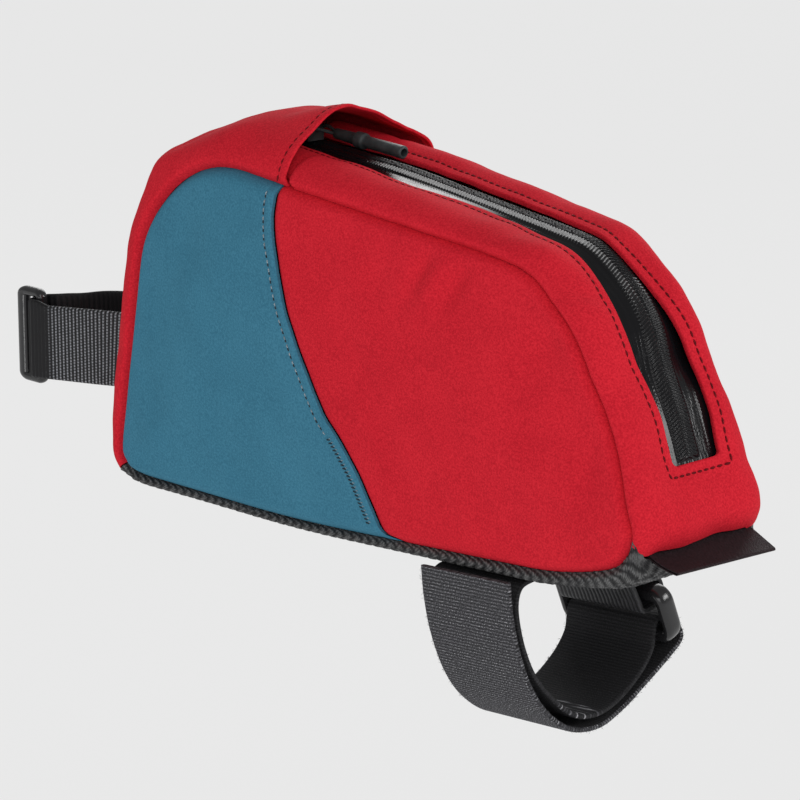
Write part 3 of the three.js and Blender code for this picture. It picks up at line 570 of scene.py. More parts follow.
# %% [markdown]
# The hood band runs up the stem end and over the front of the zip, where it stands up as a hood. Its
# free edge is folded under and stitched: the grid simply goes on round the fold and back inside.

# %% Hood band
HOOD = {
    "station": (0, 0.1, 0.3, 0.5, 0.7, 0.84, 1, 1.2, RIM),
    "crown": (5.9, 9.2, 10.5, 11.6, 12.7, 13.9, 12.9, 15.8, 21.2),
    "flat": (0.85, 0.72, 0.7, 0.66, 0.6, 0.56, 0.45, 0.22, 0.04),
}
RIM_SHAPE = {  # how far the cloth stands above the arch at the rim, by place across
    "y": (-30, -20, -9, -5, 1, 7, 15, 19, 24, 27, 30),
    "rise": (0, 0.1, 1.7, 1.7, 0.15, -1.35, -3.0, -2.85, -1.4, 0.2, 1.5),
}
RIM_SHAPE_FROM = 1.12
FAR_REACH = 4.5
FAR_FROM = 20.0
FAR_BLEND = 9.0
HOOD_CLOTH = 0.45
CLOSE_ROWS_FROM = 1.2
HEM_STITCH = 2.6
HEM_PUFF = 0.08
HEM_FOLD = 0.5
HEM_BACK = 9.0
GROOVE = 0.2
GROOVE_WIDTH = 0.6
FOLD_RUN_OUT = 6.0
HOOD_FOLDS = (  # distance along the seam from the foot, y, lean, length, width and depth
    (97, -20, 0, 13, 7, 2.2),
    (81, -22, 0, 13, 8, -1.0),
    (116, -15, 0, 12, 6, -1.0),
    (108, -18, 0, 12, 7, 0.3),
    (106, -20, 75, 7, 2.5, -0.7),
    (126, -14, 66, 15, 5, -0.6),
    (92, 12, 110, 18, 6, -0.7),
    (60, -18, 80, 14, 5, -0.5),
)


def hood_base(station, y):
    """Hood without its fine shape: towards the rim its far side hangs straighter and reaches further."""
    grid = band_point(HOOD, station, y)
    near_rim = smooth((station - RIM_SHAPE_FROM) / (RIM - RIM_SHAPE_FROM))
    grid[..., 0] += near_rim * FAR_REACH * smooth((y - FAR_FROM) / FAR_BLEND)
    grid[..., 2] += near_rim * cubic(RIM_SHAPE["y"], RIM_SHAPE["rise"], y)
    return grid


def hood_surface(station, share):
    """Hood cloth with its rolled seams, folds and the groove pulled in by the hem's stitches."""
    y = across_band(HOOD, station, share)
    grid = hood_base(station, y)
    from_rim = (RIM - station) * stretch[SHOULDER]
    travel = np.where(station < 1, station * stretch[FOOT], stretch[FOOT] + (station - 1) * stretch[SHOULDER])
    hem = GROOVE * bell(from_rim - HEM_STITCH, GROOVE_WIDTH)
    puff = HEM_PUFF * swell(from_rim, HEM_STITCH)
    calm = smooth((half_width(station, y) - np.abs(y)) / FOLD_RUN_OUT)
    push = calm * folds_at(travel, y, HOOD_FOLDS) + unevenness(grid) + puff - hem - sewn_edges(grid)
    return grid + normals_of(grid) * push[..., None]


def hood_grid():
    """Outer side of the hood, round its folded rim and back along the inside of the hem."""
    station = np.concatenate([np.linspace(past(FOOT, SEAM_GAP / 2), CLOSE_ROWS_FROM, 150),
                              np.linspace(CLOSE_ROWS_FROM, RIM, 60)[1:]])
    share = np.linspace(-1, 1, 97)
    outer = hood_surface(*np.meshgrid(station, share, indexing="ij"))
    facing = normals_of(outer)
    ahead = unit(outer[-1] - outer[-2])
    turned = np.linspace(0, np.pi, 9)[1:, None, None]
    middle = outer[-1] - facing[-1] * HEM_FOLD
    fold = middle + HEM_FOLD * (facing[-1] * np.cos(turned) + ahead * np.sin(turned))
    inside = station > RIM - HEM_BACK / stretch[SHOULDER]
    lining = (outer - facing * 2 * HEM_FOLD)[inside][::-1]
    return np.concatenate([outer, fold, lining[1:]])


hood = hood_grid()
hood_piece = dress(
    slab("hood_cloth", hood, hood - normals_of(hood) * HOOD_CLOTH), red_cloth, "red_cloth", "hood_band")

# %% [markdown]
# The zip band carries on from under the hood, over the knee and down the tail. Its slot is left open
# in the grid, with columns that follow the slot's edge, and the lip between the edge and the stitches
# is puffed up as a folded edge is.

# %% Zip band
ZIP = {
    "station": (1.1, 1.4, 1.6, 1.85, 2, 2.2, 2.4, 2.75, 2.92, 3),
    "crown": (9.8, 9.8, 8.7, 7, 8.5, 8.8, 7.7, 7.4, 6.6, 4),
    "flat": (0.5, 0.5, 0.5, 0.5, 0.52, 0.51, 0.5, 0.48, 0.52, 0.7),
    "dip": (3, 2.6, 2.2, 1.8, 2, 2.1, 2.2, 2.2, 0, 0),
}
ZIP_START = 1.17
TUCK = 2.8
TUCK_MARGIN = 0.7
TUCK_LENGTH = 1.4
LABEL_ROOM = 1.1
LABEL_SHARE = 0.5
LABEL_BLEND = 0.06
CORNER_RISE = 2.2
CORNER_SHARE = 0.6
CORNER_BLEND = 0.3
CUT_BACK_FROM = 2.8
SLOT_STITCH = 3.0
LIP_ROUND = 0.5
LIP_PUFF = 0.1
FAR_LIP = 0.4
FAR_LIP_STATION = 1.68
FAR_LIP_LENGTH = 0.2
FAR_LIP_WIDTH = 5.0
SLOT_WAVES = {  # how far each edge of the slot wanders outwards
    "station": (1.17, 1.3, 1.42, 1.55, 1.7, 1.82, 1.88, 1.94, 2, 2.1, 2.22, 2.3, 2.42, 2.55, 2.7),
    "near": (0.3, 0.6, 1.6, 2.3, -1.2, 0.4, 1.2, 0, 0.8, 2, 2.9, 2.2, 0.3, -0.6, -0.6),
    "far": (0.3, 0.6, 0.8, 0.6, 0.2, 0.2, 0, -1.2, -0.8, 0, 1.6, 2.4, 3.1, 3.3, 2.6),
}
TAIL_FOLDS = (  # distance along the seam from the knee, y, lean, length, width and depth
    (2, -19, 40, 6, 3, -0.9),
    (-6, -20, 30, 7, 4, 0.7),
    (50, -17, 12, 14, 4, -0.5),
    (66, -12, 60, 12, 4, 0.5),
    (70, 6, 80, 14, 5, -0.6),
    (74, -20, 40, 10, 4, -0.5),
    (62, 18, -30, 12, 4, -0.6),
)


def slot_edge(station, side):
    """Half width of the slot on the near or far side, which wanders a little as the zip is eased in."""
    near, far = from_table(SLOT_WAVES, "near", station), from_table(SLOT_WAVES, "far", station)
    return SLOT_HALF + np.where(side < 0, near, far)


def slot_at(station, side):
    """Half width of the slot, which closes on a quarter circle at its lower end."""
    left = (SLOT_END - station) * stretch[KNEE]
    inside = np.clip(SLOT_ROUNDING - left, 0, SLOT_ROUNDING)
    return slot_edge(station, side) - SLOT_ROUNDING + np.sqrt(SLOT_ROUNDING ** 2 - inside ** 2)


def slot_distance(station, y):
    """Distance to the slot's edge, as to a rounded rectangle that is open at its far end."""
    aside = np.abs(y) - slot_edge(station, y) + SLOT_ROUNDING
    below = (station - SLOT_END) * stretch[KNEE] + SLOT_ROUNDING
    outside = np.hypot(np.maximum(aside, 0), np.maximum(below, 0))
    return outside + np.minimum(np.maximum(aside, below), 0) - SLOT_ROUNDING


def zip_tuck(station):
    """How much narrower the zip band is under the hood."""
    beyond = (station - RIM) * stretch[SHOULDER] - TUCK_MARGIN
    return TUCK * (1 - smooth(beyond / TUCK_LENGTH))


def zip_base(station, y):
    """Zip band without its fine shape: narrower where it is tucked under the hood."""
    return band_point(ZIP, station, y, zip_tuck(station))


def zip_lift(station, y):
    """Height of the lip beside the slot: a rounded edge, a puff and the groove of the stitches."""
    distance = np.maximum(slot_distance(station, y), 0)
    edge = np.clip(1 - distance / LIP_ROUND, 0, 1)
    round_off = LIP_ROUND * (1 - np.sqrt(1 - edge ** 2))
    puff = LIP_PUFF * swell(distance, SLOT_STITCH)
    here = bell(station - FAR_LIP_STATION, FAR_LIP_LENGTH)
    raised = FAR_LIP * here * bell(distance, FAR_LIP_WIDTH) * (y > 0)
    return raised + puff - round_off - GROOVE * bell(distance - SLOT_STITCH, GROOVE_WIDTH)


def zip_surface(station, share):
    """Zip band cloth with its lip, folds and rolled seams."""
    y = across_band(ZIP, station, share, zip_tuck(station), slot_at(station, share))
    grid = zip_base(station, y)
    below = (station - KNEE) * stretch[KNEE]
    push = zip_lift(station, y) + folds_at(below, y, TAIL_FOLDS) + unevenness(grid) - sewn_edges(grid)
    return grid + normals_of(grid) * push[..., None]


def beside_label(share):
    """How much of the label's slit is closed: none under the label, nearly all of it beside the label."""
    return (LABEL_ROOM - SEAM_GAP / 4) * smooth((np.abs(share) - LABEL_SHARE) / LABEL_BLEND)


def corner_rise(share):
    """How far up the base cloth reaches at the tail's corners, most of all at the near one."""
    return np.where(share < 0, CORNER_RISE, 0) * smooth((np.abs(share) - CORNER_SHARE) / CORNER_BLEND)


tail_end = past(TAIL, -LABEL_ROOM)
round_start = past(SLOT_END, -SLOT_ROUNDING)
zip_station = np.concatenate([
    np.linspace(ZIP_START, round_start, 250),
    SLOT_END - (SLOT_END - round_start) * np.cos(np.linspace(0, np.pi / 2, 14))[1:],
    np.linspace(SLOT_END, tail_end, 60)[1:],
])
lip_share = np.concatenate([
    np.linspace(0, SLOT_SHARE, 7), np.linspace(SLOT_SHARE, FLAT_SHARE, 22)[1:],
    np.linspace(FLAT_SHARE, 1, 26)[1:]])
zip_share = np.concatenate([-lip_share[:0:-1], lip_share])
station_grid, share_grid = np.meshgrid(zip_station, zip_share, indexing="ij")
low_part = smooth((station_grid - CUT_BACK_FROM) / (tail_end - CUT_BACK_FROM))
cut_back = (corner_rise(share_grid) - beside_label(share_grid)) / stretch[KNEE]
zip_grid = zip_surface(station_grid - low_part * cut_back, share_grid)
open_rows = (zip_station[:-1] + zip_station[1:]) / 2 < SLOT_END
open_columns = np.abs(zip_share[:-1] + zip_share[1:]) / 2 < SLOT_SHARE
zip_piece = dress(
    slab("zip_cloth", zip_grid, zip_grid - normals_of(zip_grid) * WALL, ~np.outer(open_rows, open_columns)),
    red_cloth, "red_cloth", "zip_band")

# %% [markdown]
# Each side is sewn from two panels: red cloth towards the saddle and a blue panel towards the stem
# whose edge is an S-curve, folded and topstitched. A panel is a patch between four edges, and its
# depth blends the widths of the bag all round with a slight dome.

# %% Side panels
DOME = 3.0
DOME_REACH = 38.0
FOLD_MARGIN = 9.0
PROUD_RUN_OUT = 4.0
COVER_PROUD = 0.8
COVER_GAP = 0.25
COVER_TOP = 1.313
COVER_BOTTOM = 4.58
COVER_EDGE = {
    "height": (6, 7, 11.2, 23.6, 35.4, 41.1, 53.4, 65.9, 78.7, 91.6, 98.2, 106),
    "x": (18, 13.2, 9.3, 2.7, -6, -11.2, -18.5, -24.6, -28.5, -31.9, -32.7, -31.2),
}
COVER_STITCH = 3.4
COVER_PUFF = 0.12
COVER_EASE = 0.4
COVER_EASE_REACH = 0.45
UNDER_COVER = 0.9
UNDER_COVER_REACH = 1.1
SIDE_FOLDS = (  # x, z, lean, length, width and depth
    (29, 89.5, 31, 11, 2.8, -1.3),
    (35.5, 89, 32, 12, 3, 0.9),
    (43, 87.5, 33, 13, 3.2, -1.3),
    (78, 76, 38, 14, 6, -1.2),
    (-74, 80, 35, 18, 8, -0.7),
    (14, 88, 24, 12, 4, -0.5),
    (58, 60, 30, 22, 9, 0.5),
    (94, 40, 10, 16, 5, -0.6),
)
SEAM_SAMPLES = np.arange(480) / 80
AT_SEAM = 1.6 * SEAM_LINE
SEAM_ALLOWANCE = 1.0
ALLOWANCE_DEPTH = 1.4
sample_points, sample_normals = seam_at(SEAM_SAMPLES)


def side_shape(flat_points, sign):
    """Half widths weighted by distance^-3, with dome and folds; distance to the seam and its normal."""
    gap = np.linalg.norm(flat_points[..., None, :] - sample_points, axis=-1)
    weight = np.maximum(gap, SEAM_GAP) ** -3.0
    closest = gap.argmin(axis=-1)
    outward = sample_normals[closest]
    nearest = np.abs(((flat_points - sample_points[closest]) * outward).sum(axis=-1))
    half = (weight * half_width(SEAM_SAMPLES, sign)).sum(axis=-1) / weight.sum(axis=-1)
    calm = smooth(nearest / FOLD_MARGIN)
    folds = folds_at(flat_points[..., 0], flat_points[..., 1], SIDE_FOLDS)
    depth = half + DOME * smooth(nearest / DOME_REACH) + calm * folds
    return depth, nearest, outward


def panel_edge(station):
    """Seam moved in by the width of the sewn line, where a panel ends."""
    point, normal = seam_at(np.asarray(station, float))
    return point - normal * SEAM_LINE


def edge_x(height):
    """The S-curve's place along the bag at a height."""
    return cubic(COVER_EDGE["height"], COVER_EDGE["x"], height)


def cover_edge(share, shift):
    """S-curve between the two panels by height, bent to meet the seam at both ends."""
    bottom, top = panel_edge(COVER_BOTTOM), panel_edge(COVER_TOP)
    height = bottom[1] + (top[1] - bottom[1]) * share
    low = bottom[0] - edge_x(bottom[1])
    high = top[0] - edge_x(top[1])
    x = edge_x(height) + low + (high - low) * share + shift
    return np.stack([x, height], axis=-1)


def patch(bottom, top, left, right):
    """Coons patch: the two blends between opposite edges less the blend of the four corners."""
    u = np.linspace(0, 1, len(bottom))[:, None, None]
    v = np.linspace(0, 1, len(left))[None, :, None]
    sides = (1 - v) * bottom[:, None] + v * top[:, None] + (1 - u) * left[None] + u * right[None]
    corners = (1 - u) * ((1 - v) * bottom[0] + v * top[0]) + u * ((1 - v) * bottom[-1] + v * top[-1])
    return sides - corners


def stand(flat_points, y):
    """Points of a flat side, given by x and z, set up at a place across the bag."""
    y = np.broadcast_to(y, flat_points.shape[:-1])
    return np.stack([flat_points[..., 0], y, flat_points[..., 1]], axis=-1)


def panel(name, flat_points, sign, proud, edge_shape, material, slot, node):
    """A side panel: the flat patch carried out to its depth, with rolled edges and a turned-in seam."""
    depth, nearest, outward = side_shape(flat_points, sign)
    uneven = smooth(nearest / FOLD_MARGIN) * unevenness(stand(flat_points, 0.0))
    roll = SEAM_ROLL * bell(nearest, SEAM_ROLL_REACH)
    depth = depth + proud * smooth(nearest / PROUD_RUN_OUT) + uneven - roll + edge_shape
    outer = stand(flat_points, sign * depth)
    inner = outer - sign * WALL * ACROSS
    turned_in = np.where(nearest < AT_SEAM, SEAM_ALLOWANCE, 0)
    inner[..., ::2] += outward * turned_in[..., None]
    inner[..., 1] -= sign * ALLOWANCE_DEPTH * turned_in
    if sign > 0:
        outer, inner = outer[::-1], inner[::-1]
    return dress(slab(name, outer, inner), material, slot, node), outer


def side_patch():
    """Red panel from the S-curve to the tail."""
    shift = COVER_GAP / 2
    u, v = np.linspace(0, 1, 132), np.linspace(0, 1, 88)
    bottom_from = past(COVER_BOTTOM, -shift)
    top_from = past(COVER_TOP, shift)
    return patch(
        panel_edge(bottom_from + (TAIL - bottom_from) * u), panel_edge(top_from + (KNEE - top_from) * u),
        cover_edge(v, shift), panel_edge(TAIL + (KNEE - TAIL) * v))


def cover_patch():
    """Blue panel from the stem end to the S-curve."""
    shift = COVER_GAP / 2
    u, v = np.linspace(0, 1, 114), np.linspace(0, 1, 88)
    bottom_to = past(COVER_BOTTOM, shift)
    top_to = past(COVER_TOP, -shift)
    return patch(
        panel_edge(FOOT_AGAIN + (bottom_to - FOOT_AGAIN) * u), panel_edge(SHOULDER + (top_to - SHOULDER) * u),
        panel_edge(FOOT + (SHOULDER - FOOT) * v), cover_edge(v, -shift))


def edge_distance(flat_points):
    """Distance of each point from the S-curve."""
    curve = cover_edge(np.linspace(0, 1, 300), 0.0)
    return np.linalg.norm(flat_points[..., None, :] - curve, axis=-1).min(axis=-1)


side_flat, cover_flat = side_patch(), cover_patch()
side_gap, cover_gap = edge_distance(side_flat), edge_distance(cover_flat)
side_roll = -UNDER_COVER * bell(side_gap, UNDER_COVER_REACH)
cover_lip = (COVER_PUFF * swell(cover_gap, COVER_STITCH) - COVER_EASE * bell(cover_gap, COVER_EASE_REACH)
             - GROOVE * bell(cover_gap - COVER_STITCH, GROOVE_WIDTH))
SIDES = (("left", -1), ("right", 1))
for side, sign in SIDES:
    panel(
        side + "_side_cloth", side_flat, sign, 0.0, side_roll, red_cloth, "red_cloth", side + "_side_panel")
    panel(
        side + "_cover_cloth", cover_flat, sign, COVER_PROUD, cover_lip, blue_cloth, "blue_cloth",
        side + "_cover_panel")

# %% [markdown]
# The base is a tougher grip cloth in charcoal. It is gathered into slanted ribs along both edges, like a
# flat rope, and is a plain twill in the middle and where it turns up at the tail. Bump would leave the
# edge smooth, so both are in the mesh, where they break up the outline of the base.

# %% Base panel
BASE = {
    "station": (3, 3.14, 3.35, 4, 4.6, 5.29, 5.949, 5.975, 6),
    "crown": (4.6, 6.9, 5.7, 3.8, 2.9, 2.4, 2.9, 3.6, 5.9),
    "flat": (0.7, 0.74, 0.8, 0.88, 0.9, 0.9, 0.9, 0.88, 0.85),
}
TWILL_PITCH = 3.4
TWILL_HEIGHT = 0.35
TAIL_TWILL = 14.0
ROPE_PITCH = 3.9
ROPE_SLANT = 0.8
ROPE_HEIGHT = 0.8
ROPE_LEVEL = 0.8
ROPE_SHARE = 0.42
ROPE_BLEND = 0.2
ROPE_RUN_IN = 8.0
CORNER_SINK = 0.6
SINK_LENGTH = 3.5
RISE_UNTIL = 3.5
RISE_RUN = 0.45


def base_cloth():
    """Charcoal grip cloth: pale crowns on its slanted ribs, finer threads across them and a dusty grain."""
    material, tree, shader = new_material("base_cloth", Roughness=0.68, Specular_IOR_Level=0.35)
    u, v = map_place(tree)
    slanted = plus(tree, u, times(tree, v, ROPE_SLANT))
    rib = maths(tree, "ABSOLUTE", wave(tree, slanted, 2 * ROPE_PITCH * MM))
    thread_wave = times(tree, wave(tree, maths(tree, "SUBTRACT", u, v), 1.3 * MM), 0.12)
    grain = times(tree, noise(tree, object_place(tree), 1100, 2), 0.5)
    total = plus(tree, plus(tree, times(tree, rib, 0.55), thread_wave), grain)
    dye(tree, shader, total, (0.3, (0.006, 0.006, 0.007)), (0.62, (0.034, 0.034, 0.035)),
        (0.92, (0.13, 0.13, 0.13)))
    bump(tree, shader, total, 0.25 * MM)
    return material


def base_grid():
    """Base cloth: sqrt|sin| ribs at its edges, a twill of two crossed sines elsewhere, and rolled seams."""
    station = np.linspace(past(TAIL, LABEL_ROOM), past(FOOT_AGAIN, -SEAM_GAP / 2), 420)
    station, share = np.meshgrid(station, np.linspace(-1, 1, 69), indexing="ij")
    rise = (corner_rise(share) + beside_label(share)) / stretch[TAIL]
    station = station - rise * smooth((RISE_UNTIL - station) / RISE_RUN)
    y = across_band(BASE, station, share)
    grid = band_point(BASE, station, y)
    down, over = np.moveaxis(lengths_of(grid), -1, 0)
    slant = 2 * np.pi / TWILL_PITCH
    twill = np.sin(slant * (down + over)) * np.sin(slant * (down - over))
    edge = smooth((np.abs(share) - ROPE_SHARE) / ROPE_BLEND) * smooth((down - TAIL_TWILL) / ROPE_RUN_IN)
    strand = np.abs(np.sin(np.pi * (down + ROPE_SLANT * over) / ROPE_PITCH))
    relief = (1 - edge) * TWILL_HEIGHT * twill + edge * ROPE_HEIGHT * (np.sqrt(strand) - ROPE_LEVEL)
    under_tail = 1 - smooth(down / SINK_LENGTH)
    push = relief * (1 - under_tail) - CORNER_SINK * under_tail - sewn_edges(grid)
    return grid + normals_of(grid) * push[..., None]


base = base_grid()
base_piece = dress(
    slab("base_cloth", base, base - normals_of(base) * WALL), base_cloth(), "base_cloth", "base_panel")

# %% [markdown]
# The zip is a coated coil zip: a glossy black tape under the slot, with the coil showing through the
# coating as a ridge of small slanted ribs on either side of a fine middle line. The ribs catch the light
# one by one, so they are in the mesh, with close columns only where the coil runs.

# %% Zip tape
TAPE_START = 1.13
TAPE_TAIL = 6.0
TAPE_HALF = 15.0
TAPE_DEEP = 0.2
TAPE_THICKNESS = 1.0
COIL_HALF = 4.7
COIL_HEIGHT = 0.55
COIL_EDGE = 0.9
COIL_MARGIN = 0.4
COIL_STOP = 0.7
COIL_STOP_RUN = 1.4
RIB_PITCH = 1.1
RIB_HEIGHT = 0.18
RIB_SLANT = 0.45
MIDDLE_WIDTH = 0.28
MIDDLE_DEPTH = 0.2
TAPE_WAVE = 0.35
TAPE_WAVE_LENGTH = 9.5
TAPE_WAVE_RUN_OUT = 12.0
TAPE_DRAPE = 0.1
TAPE_TURN_DOWN = 0.3
NEAR_TURN_FROM = 1.6
NEAR_TURN_RUN = 0.15
TAIL_FROM = 2.3
TAIL_RUN = 0.2
HOLLOW = 1.1
HOLLOW_STATION = 1.88
HOLLOW_LENGTH = 0.12
HOLLOW_FROM = 3.0
HOLLOW_BLEND = 5.0
DEEPER_FROM = 1.3
DEEPER_RUN = 0.1
COIL_COURSE = {"station": (1.13, 1.5, 1.9, 2.1, 2.4, 2.8), "aside": (0, 2.4, 2.6, 2.2, 0.4, 0)}


def coated_tape():
    """Glossy black coating: drawn-out streaks and a fine grain in the bump, dull patches in the gloss."""
    black = (0.005, 0.005, 0.006, 1)
    material, tree, shader = new_material("coated_tape", Base_Color=black, Specular_IOR_Level=0.22)
    where = object_place(tree)
    u, v = map_place(tree)
    drawn = add(tree, "CombineXYZ", {0: times(tree, u, 0.1), 1: v}).outputs[0]
    gloss(tree, shader, noise(tree, where, 240, 3), 0.1, 0.22)
    grain = times(tree, noise(tree, where, 1500, 2), 0.1)
    bump(tree, shader, plus(tree, noise(tree, drawn, 600, 2), grain), 0.2 * MM)
    return material


def tape_grid():
    """Tape below the slot: crown less dip, with the coil as a ridge of slanted ribs and a middle line."""
    end = past(SLOT_END, TAPE_TAIL)
    beside = np.linspace(COIL_HALF + COIL_MARGIN, TAPE_HALF, 6)
    columns = np.concatenate([-beside[::-1], np.linspace(-beside[0], beside[0], 29)[1:-1], beside])
    station, over = np.meshgrid(np.linspace(TAPE_START, end, 1040), columns, indexing="ij")
    y = over + from_table(COIL_COURSE, "aside", station)
    crown = from_table(ZIP, "crown", station)
    dip = from_table(ZIP, "dip", np.minimum(station, SLOT_END))
    above_knee = (station - SHOULDER) * stretch[SHOULDER]
    below_knee = stretch[SHOULDER] + (station - KNEE) * stretch[KNEE]
    travel = np.where(station < KNEE, above_knee, below_knee)
    left = (SLOT_END - station) * stretch[KNEE]
    ridge = smooth((COIL_HALF - np.abs(over)) / COIL_EDGE) * smooth((left - COIL_STOP) / COIL_STOP_RUN)
    ribs = np.sin(2 * np.pi * (travel - RIB_SLANT * np.abs(over)) / RIB_PITCH)
    middle = bell(over, MIDDLE_WIDTH)
    rise = ridge * (COIL_HEIGHT + RIB_HEIGHT * ribs - MIDDLE_DEPTH * middle)
    sway = TAPE_WAVE * np.sin(travel / TAPE_WAVE_LENGTH) * (over / TAPE_HALF) * smooth(left / TAPE_WAVE_RUN_OUT)
    late = smooth((station - TAIL_FROM) / TAIL_RUN)
    near_turn = np.where(over < 0, smooth((station - NEAR_TURN_FROM) / NEAR_TURN_RUN), 1)
    turned = TAPE_TURN_DOWN * (1 - late) * near_turn
    drape = (TAPE_DRAPE * late * (over < 0) + turned) * np.maximum(np.abs(over) - COIL_HALF, 0)
    at_hollow = bell(station - HOLLOW_STATION, HOLLOW_LENGTH)
    hollow = HOLLOW * at_hollow * smooth((-over - HOLLOW_FROM) / HOLLOW_BLEND)
    deeper = TAPE_DEEP * smooth((station - DEEPER_FROM) / DEEPER_RUN)
    return off_seam(station, y, rise + sway - drape - hollow + crown - dip - WALL - SEAM_GAP - deeper)


tape = tape_grid()
dress(slab("zip_tape_cloth", tape, tape - normals_of(tape) * TAPE_THICKNESS), coated_tape(), "coated_tape",
      "zip_tape")

# %% [markdown]
# Stitches are short bent threads in a row. Each one is a little tube that rises out of the cloth and
# dives back in, so it catches the light and throws a shadow as a real stitch does. A whole row is one
# mesh, worked out as one array.

# %% Stitches
STITCH_RINGS = 7
STITCH_SIDES = 6


def thread(name, colour):
    """Twisted sewing thread: one colour with painted shade in the hollows between its strands."""
    material, tree, shader = new_material(name, Roughness=0.7, Specular_IOR_Level=0.12)
    strands = noise(tree, object_place(tree), 2600, 1)
    # painted shade: where the strand noise is low, in the hollows of the bump, the colour is darker
    dark = tuple(0.45 * part for part in colour)
    dye(tree, shader, strands, (0.35, dark), (0.6, colour))
    bump(tree, shader, strands, 0.06 * MM)
    return material


def stitch_row(name, path, facing, pitch, length, thick, lift, material, slot, slant=0.0):
    """Tubes every pitch along a path, turned by a slant: height lift * (1 - s^2), thinner to the ends."""
    travel = travelled(path)
    count = int(travel[-1] / pitch)
    s = np.linspace(-1, 1, STITCH_RINGS)
    at = (np.arange(count)[:, None] + 0.5) * pitch + s * length / 2 * math.cos(slant)
    line = places_at(at, travel, path)
    up = unit(places_at(at, travel, facing))
    ahead = unit(np.gradient(line, axis=1))
    aside = unit(np.cross(ahead, up))
    line = line + aside * (s * length / 2 * math.sin(slant))[None, :, None]
    line = line + up * (lift * (1 - s ** 2) - 0.5 * thick)[None, :, None]
    angle = round_angles(STITCH_SIDES)
    size = (thick / 2 * np.sqrt(1.05 - s ** 2))[None, :, None, None]
    around = aside[:, :, None] * np.cos(angle)[:, None] + up[:, :, None] * np.sin(angle)[:, None]
    return dress(small_tubes(name, line[:, :, None] + size * around), material, slot)


red_thread = thread("red_thread", (0.17, 0.004, 0.008))
blue_thread = thread("blue_thread", (0.30, 0.36, 0.40))
dark_thread = thread("dark_thread", (0.035, 0.045, 0.055))

# %% [markdown]
# The hem of the hood, the lip of the slot and the S-curve of the blue panel are topstitched. The rows
# are laid on the same surfaces as the cloth, so that they stay on it over every bend.

# %% Stitch rows
STITCH_PITCH = 2.6
HEM_END = 0.985
SLOT_ROW_START = 1.22
SLOT_ROW_CORNER = 1.2
STATION_STEP = 0.0015
ACROSS_STEP = 0.05
TACK_SLANT = math.radians(50)
COVER_ROWS = (  # name, distance from the edge, from, to, pitch, length, thickness, lift, thread and slant
    ("stitches", COVER_STITCH, 0.30, 0.985, STITCH_PITCH, 1.5, 0.45, 0.3, blue_thread, 0),
    ("dips", COVER_STITCH, 0.313, 0.985, STITCH_PITCH, 1.4, 0.55, 0.28, dark_thread, 0),
    ("dark_tack", 3.2, 0.05, 0.30, 1.25, 2.4, 0.75, 0.45, dark_thread, TACK_SLANT),
    ("light_tack", 2.2, 0.05, 0.30, 1.25, 1.5, 0.5, 0.45, blue_thread, TACK_SLANT),
)


def on_band(surface, station, y):
    """Path on a band with its outward normals, from stations and sideways places."""
    path = surface(station, y)
    along = surface(station + STATION_STEP, y) - surface(station - STATION_STEP, y)
    over = surface(station, y + ACROSS_STEP) - surface(station, y - ACROSS_STEP)
    return path, unit(np.cross(along, over))


def hem_row():
    """Row that follows the hood's rim a little way back from it."""
    station = np.full(400, RIM - HEM_STITCH / stretch[SHOULDER])
    y = across_band(HOOD, station, np.linspace(-HEM_END, HEM_END, 400))
    path, facing = on_band(hood_base, station, y)
    return path + facing * (unevenness(path) - 0.5 * GROOVE)[:, None], facing


def slot_row():
    """Row that runs down one side of the slot, round its lower end and up the other side."""
    below = SLOT_END + SLOT_STITCH / stretch[KNEE]
    corner = SLOT_ROW_CORNER
    angle = np.linspace(0, np.pi / 2, 12)
    turn_station = below - corner / stretch[KNEE] * (1 - np.sin(angle))
    run = np.linspace(SLOT_ROW_START, turn_station[0], 500)
    far = slot_edge(run, 1) + SLOT_STITCH
    near = -slot_edge(run, -1) - SLOT_STITCH
    bend = corner * (1 - np.cos(angle))
    station = np.concatenate([run, turn_station, np.full(20, below), turn_station[::-1], run[::-1]])
    y = np.concatenate([far, far[-1] - bend, np.linspace(far[-1] - corner, near[-1] + corner, 20),
                        (near[-1] + bend)[::-1], near[::-1]])
    path, facing = on_band(zip_base, station, y)
    tail_folds = folds_at((station - KNEE) * stretch[KNEE], y, TAIL_FOLDS)
    return path + facing * (zip_lift(station, y) + unevenness(path) + tail_folds)[:, None], facing


stitch_row("hood_stitches", *hem_row(), STITCH_PITCH, 2.25, 0.55, 0.2, red_thread, "red_cloth")
stitch_row("slot_stitches", *slot_row(), STITCH_PITCH, 2.7, 0.75, 0.42, red_thread, "red_cloth")


def cover_row(sign, offset, low, high):
    """Row beside the S-curve of one blue panel, from one share of its height to another."""
    curve = cover_edge(np.linspace(low, high, 300), 0.0)
    tangent = unit(np.gradient(curve, axis=0))
    flat_path = curve + np.stack([-tangent[:, 1], tangent[:, 0]], axis=1) * offset
    uneven = unevenness(stand(flat_path, 0.0))
    depth = side_shape(flat_path, sign)[0] + COVER_PROUD + uneven - 0.6 * GROOVE
    return stand(flat_path, sign * depth), np.tile(sign * ACROSS, (len(flat_path), 1))


for side, sign in SIDES:
    for kind, offset, low, high, pitch, length, thick, lift, material, slant in COVER_ROWS:
        stitch_row(side + "_cover_" + kind, *cover_row(sign, offset, low, high), pitch, length, thick, lift,
                   material, "blue_cloth", sign * slant)

# %% [markdown]
# Straps are a flat profile with rounded edges carried along a path. Their texture map runs along the
# strap, with the inner face laid well beside the outer one, so that a finish can tell the two apart.

# %% Straps along a path
INNER_FACE = 100.0


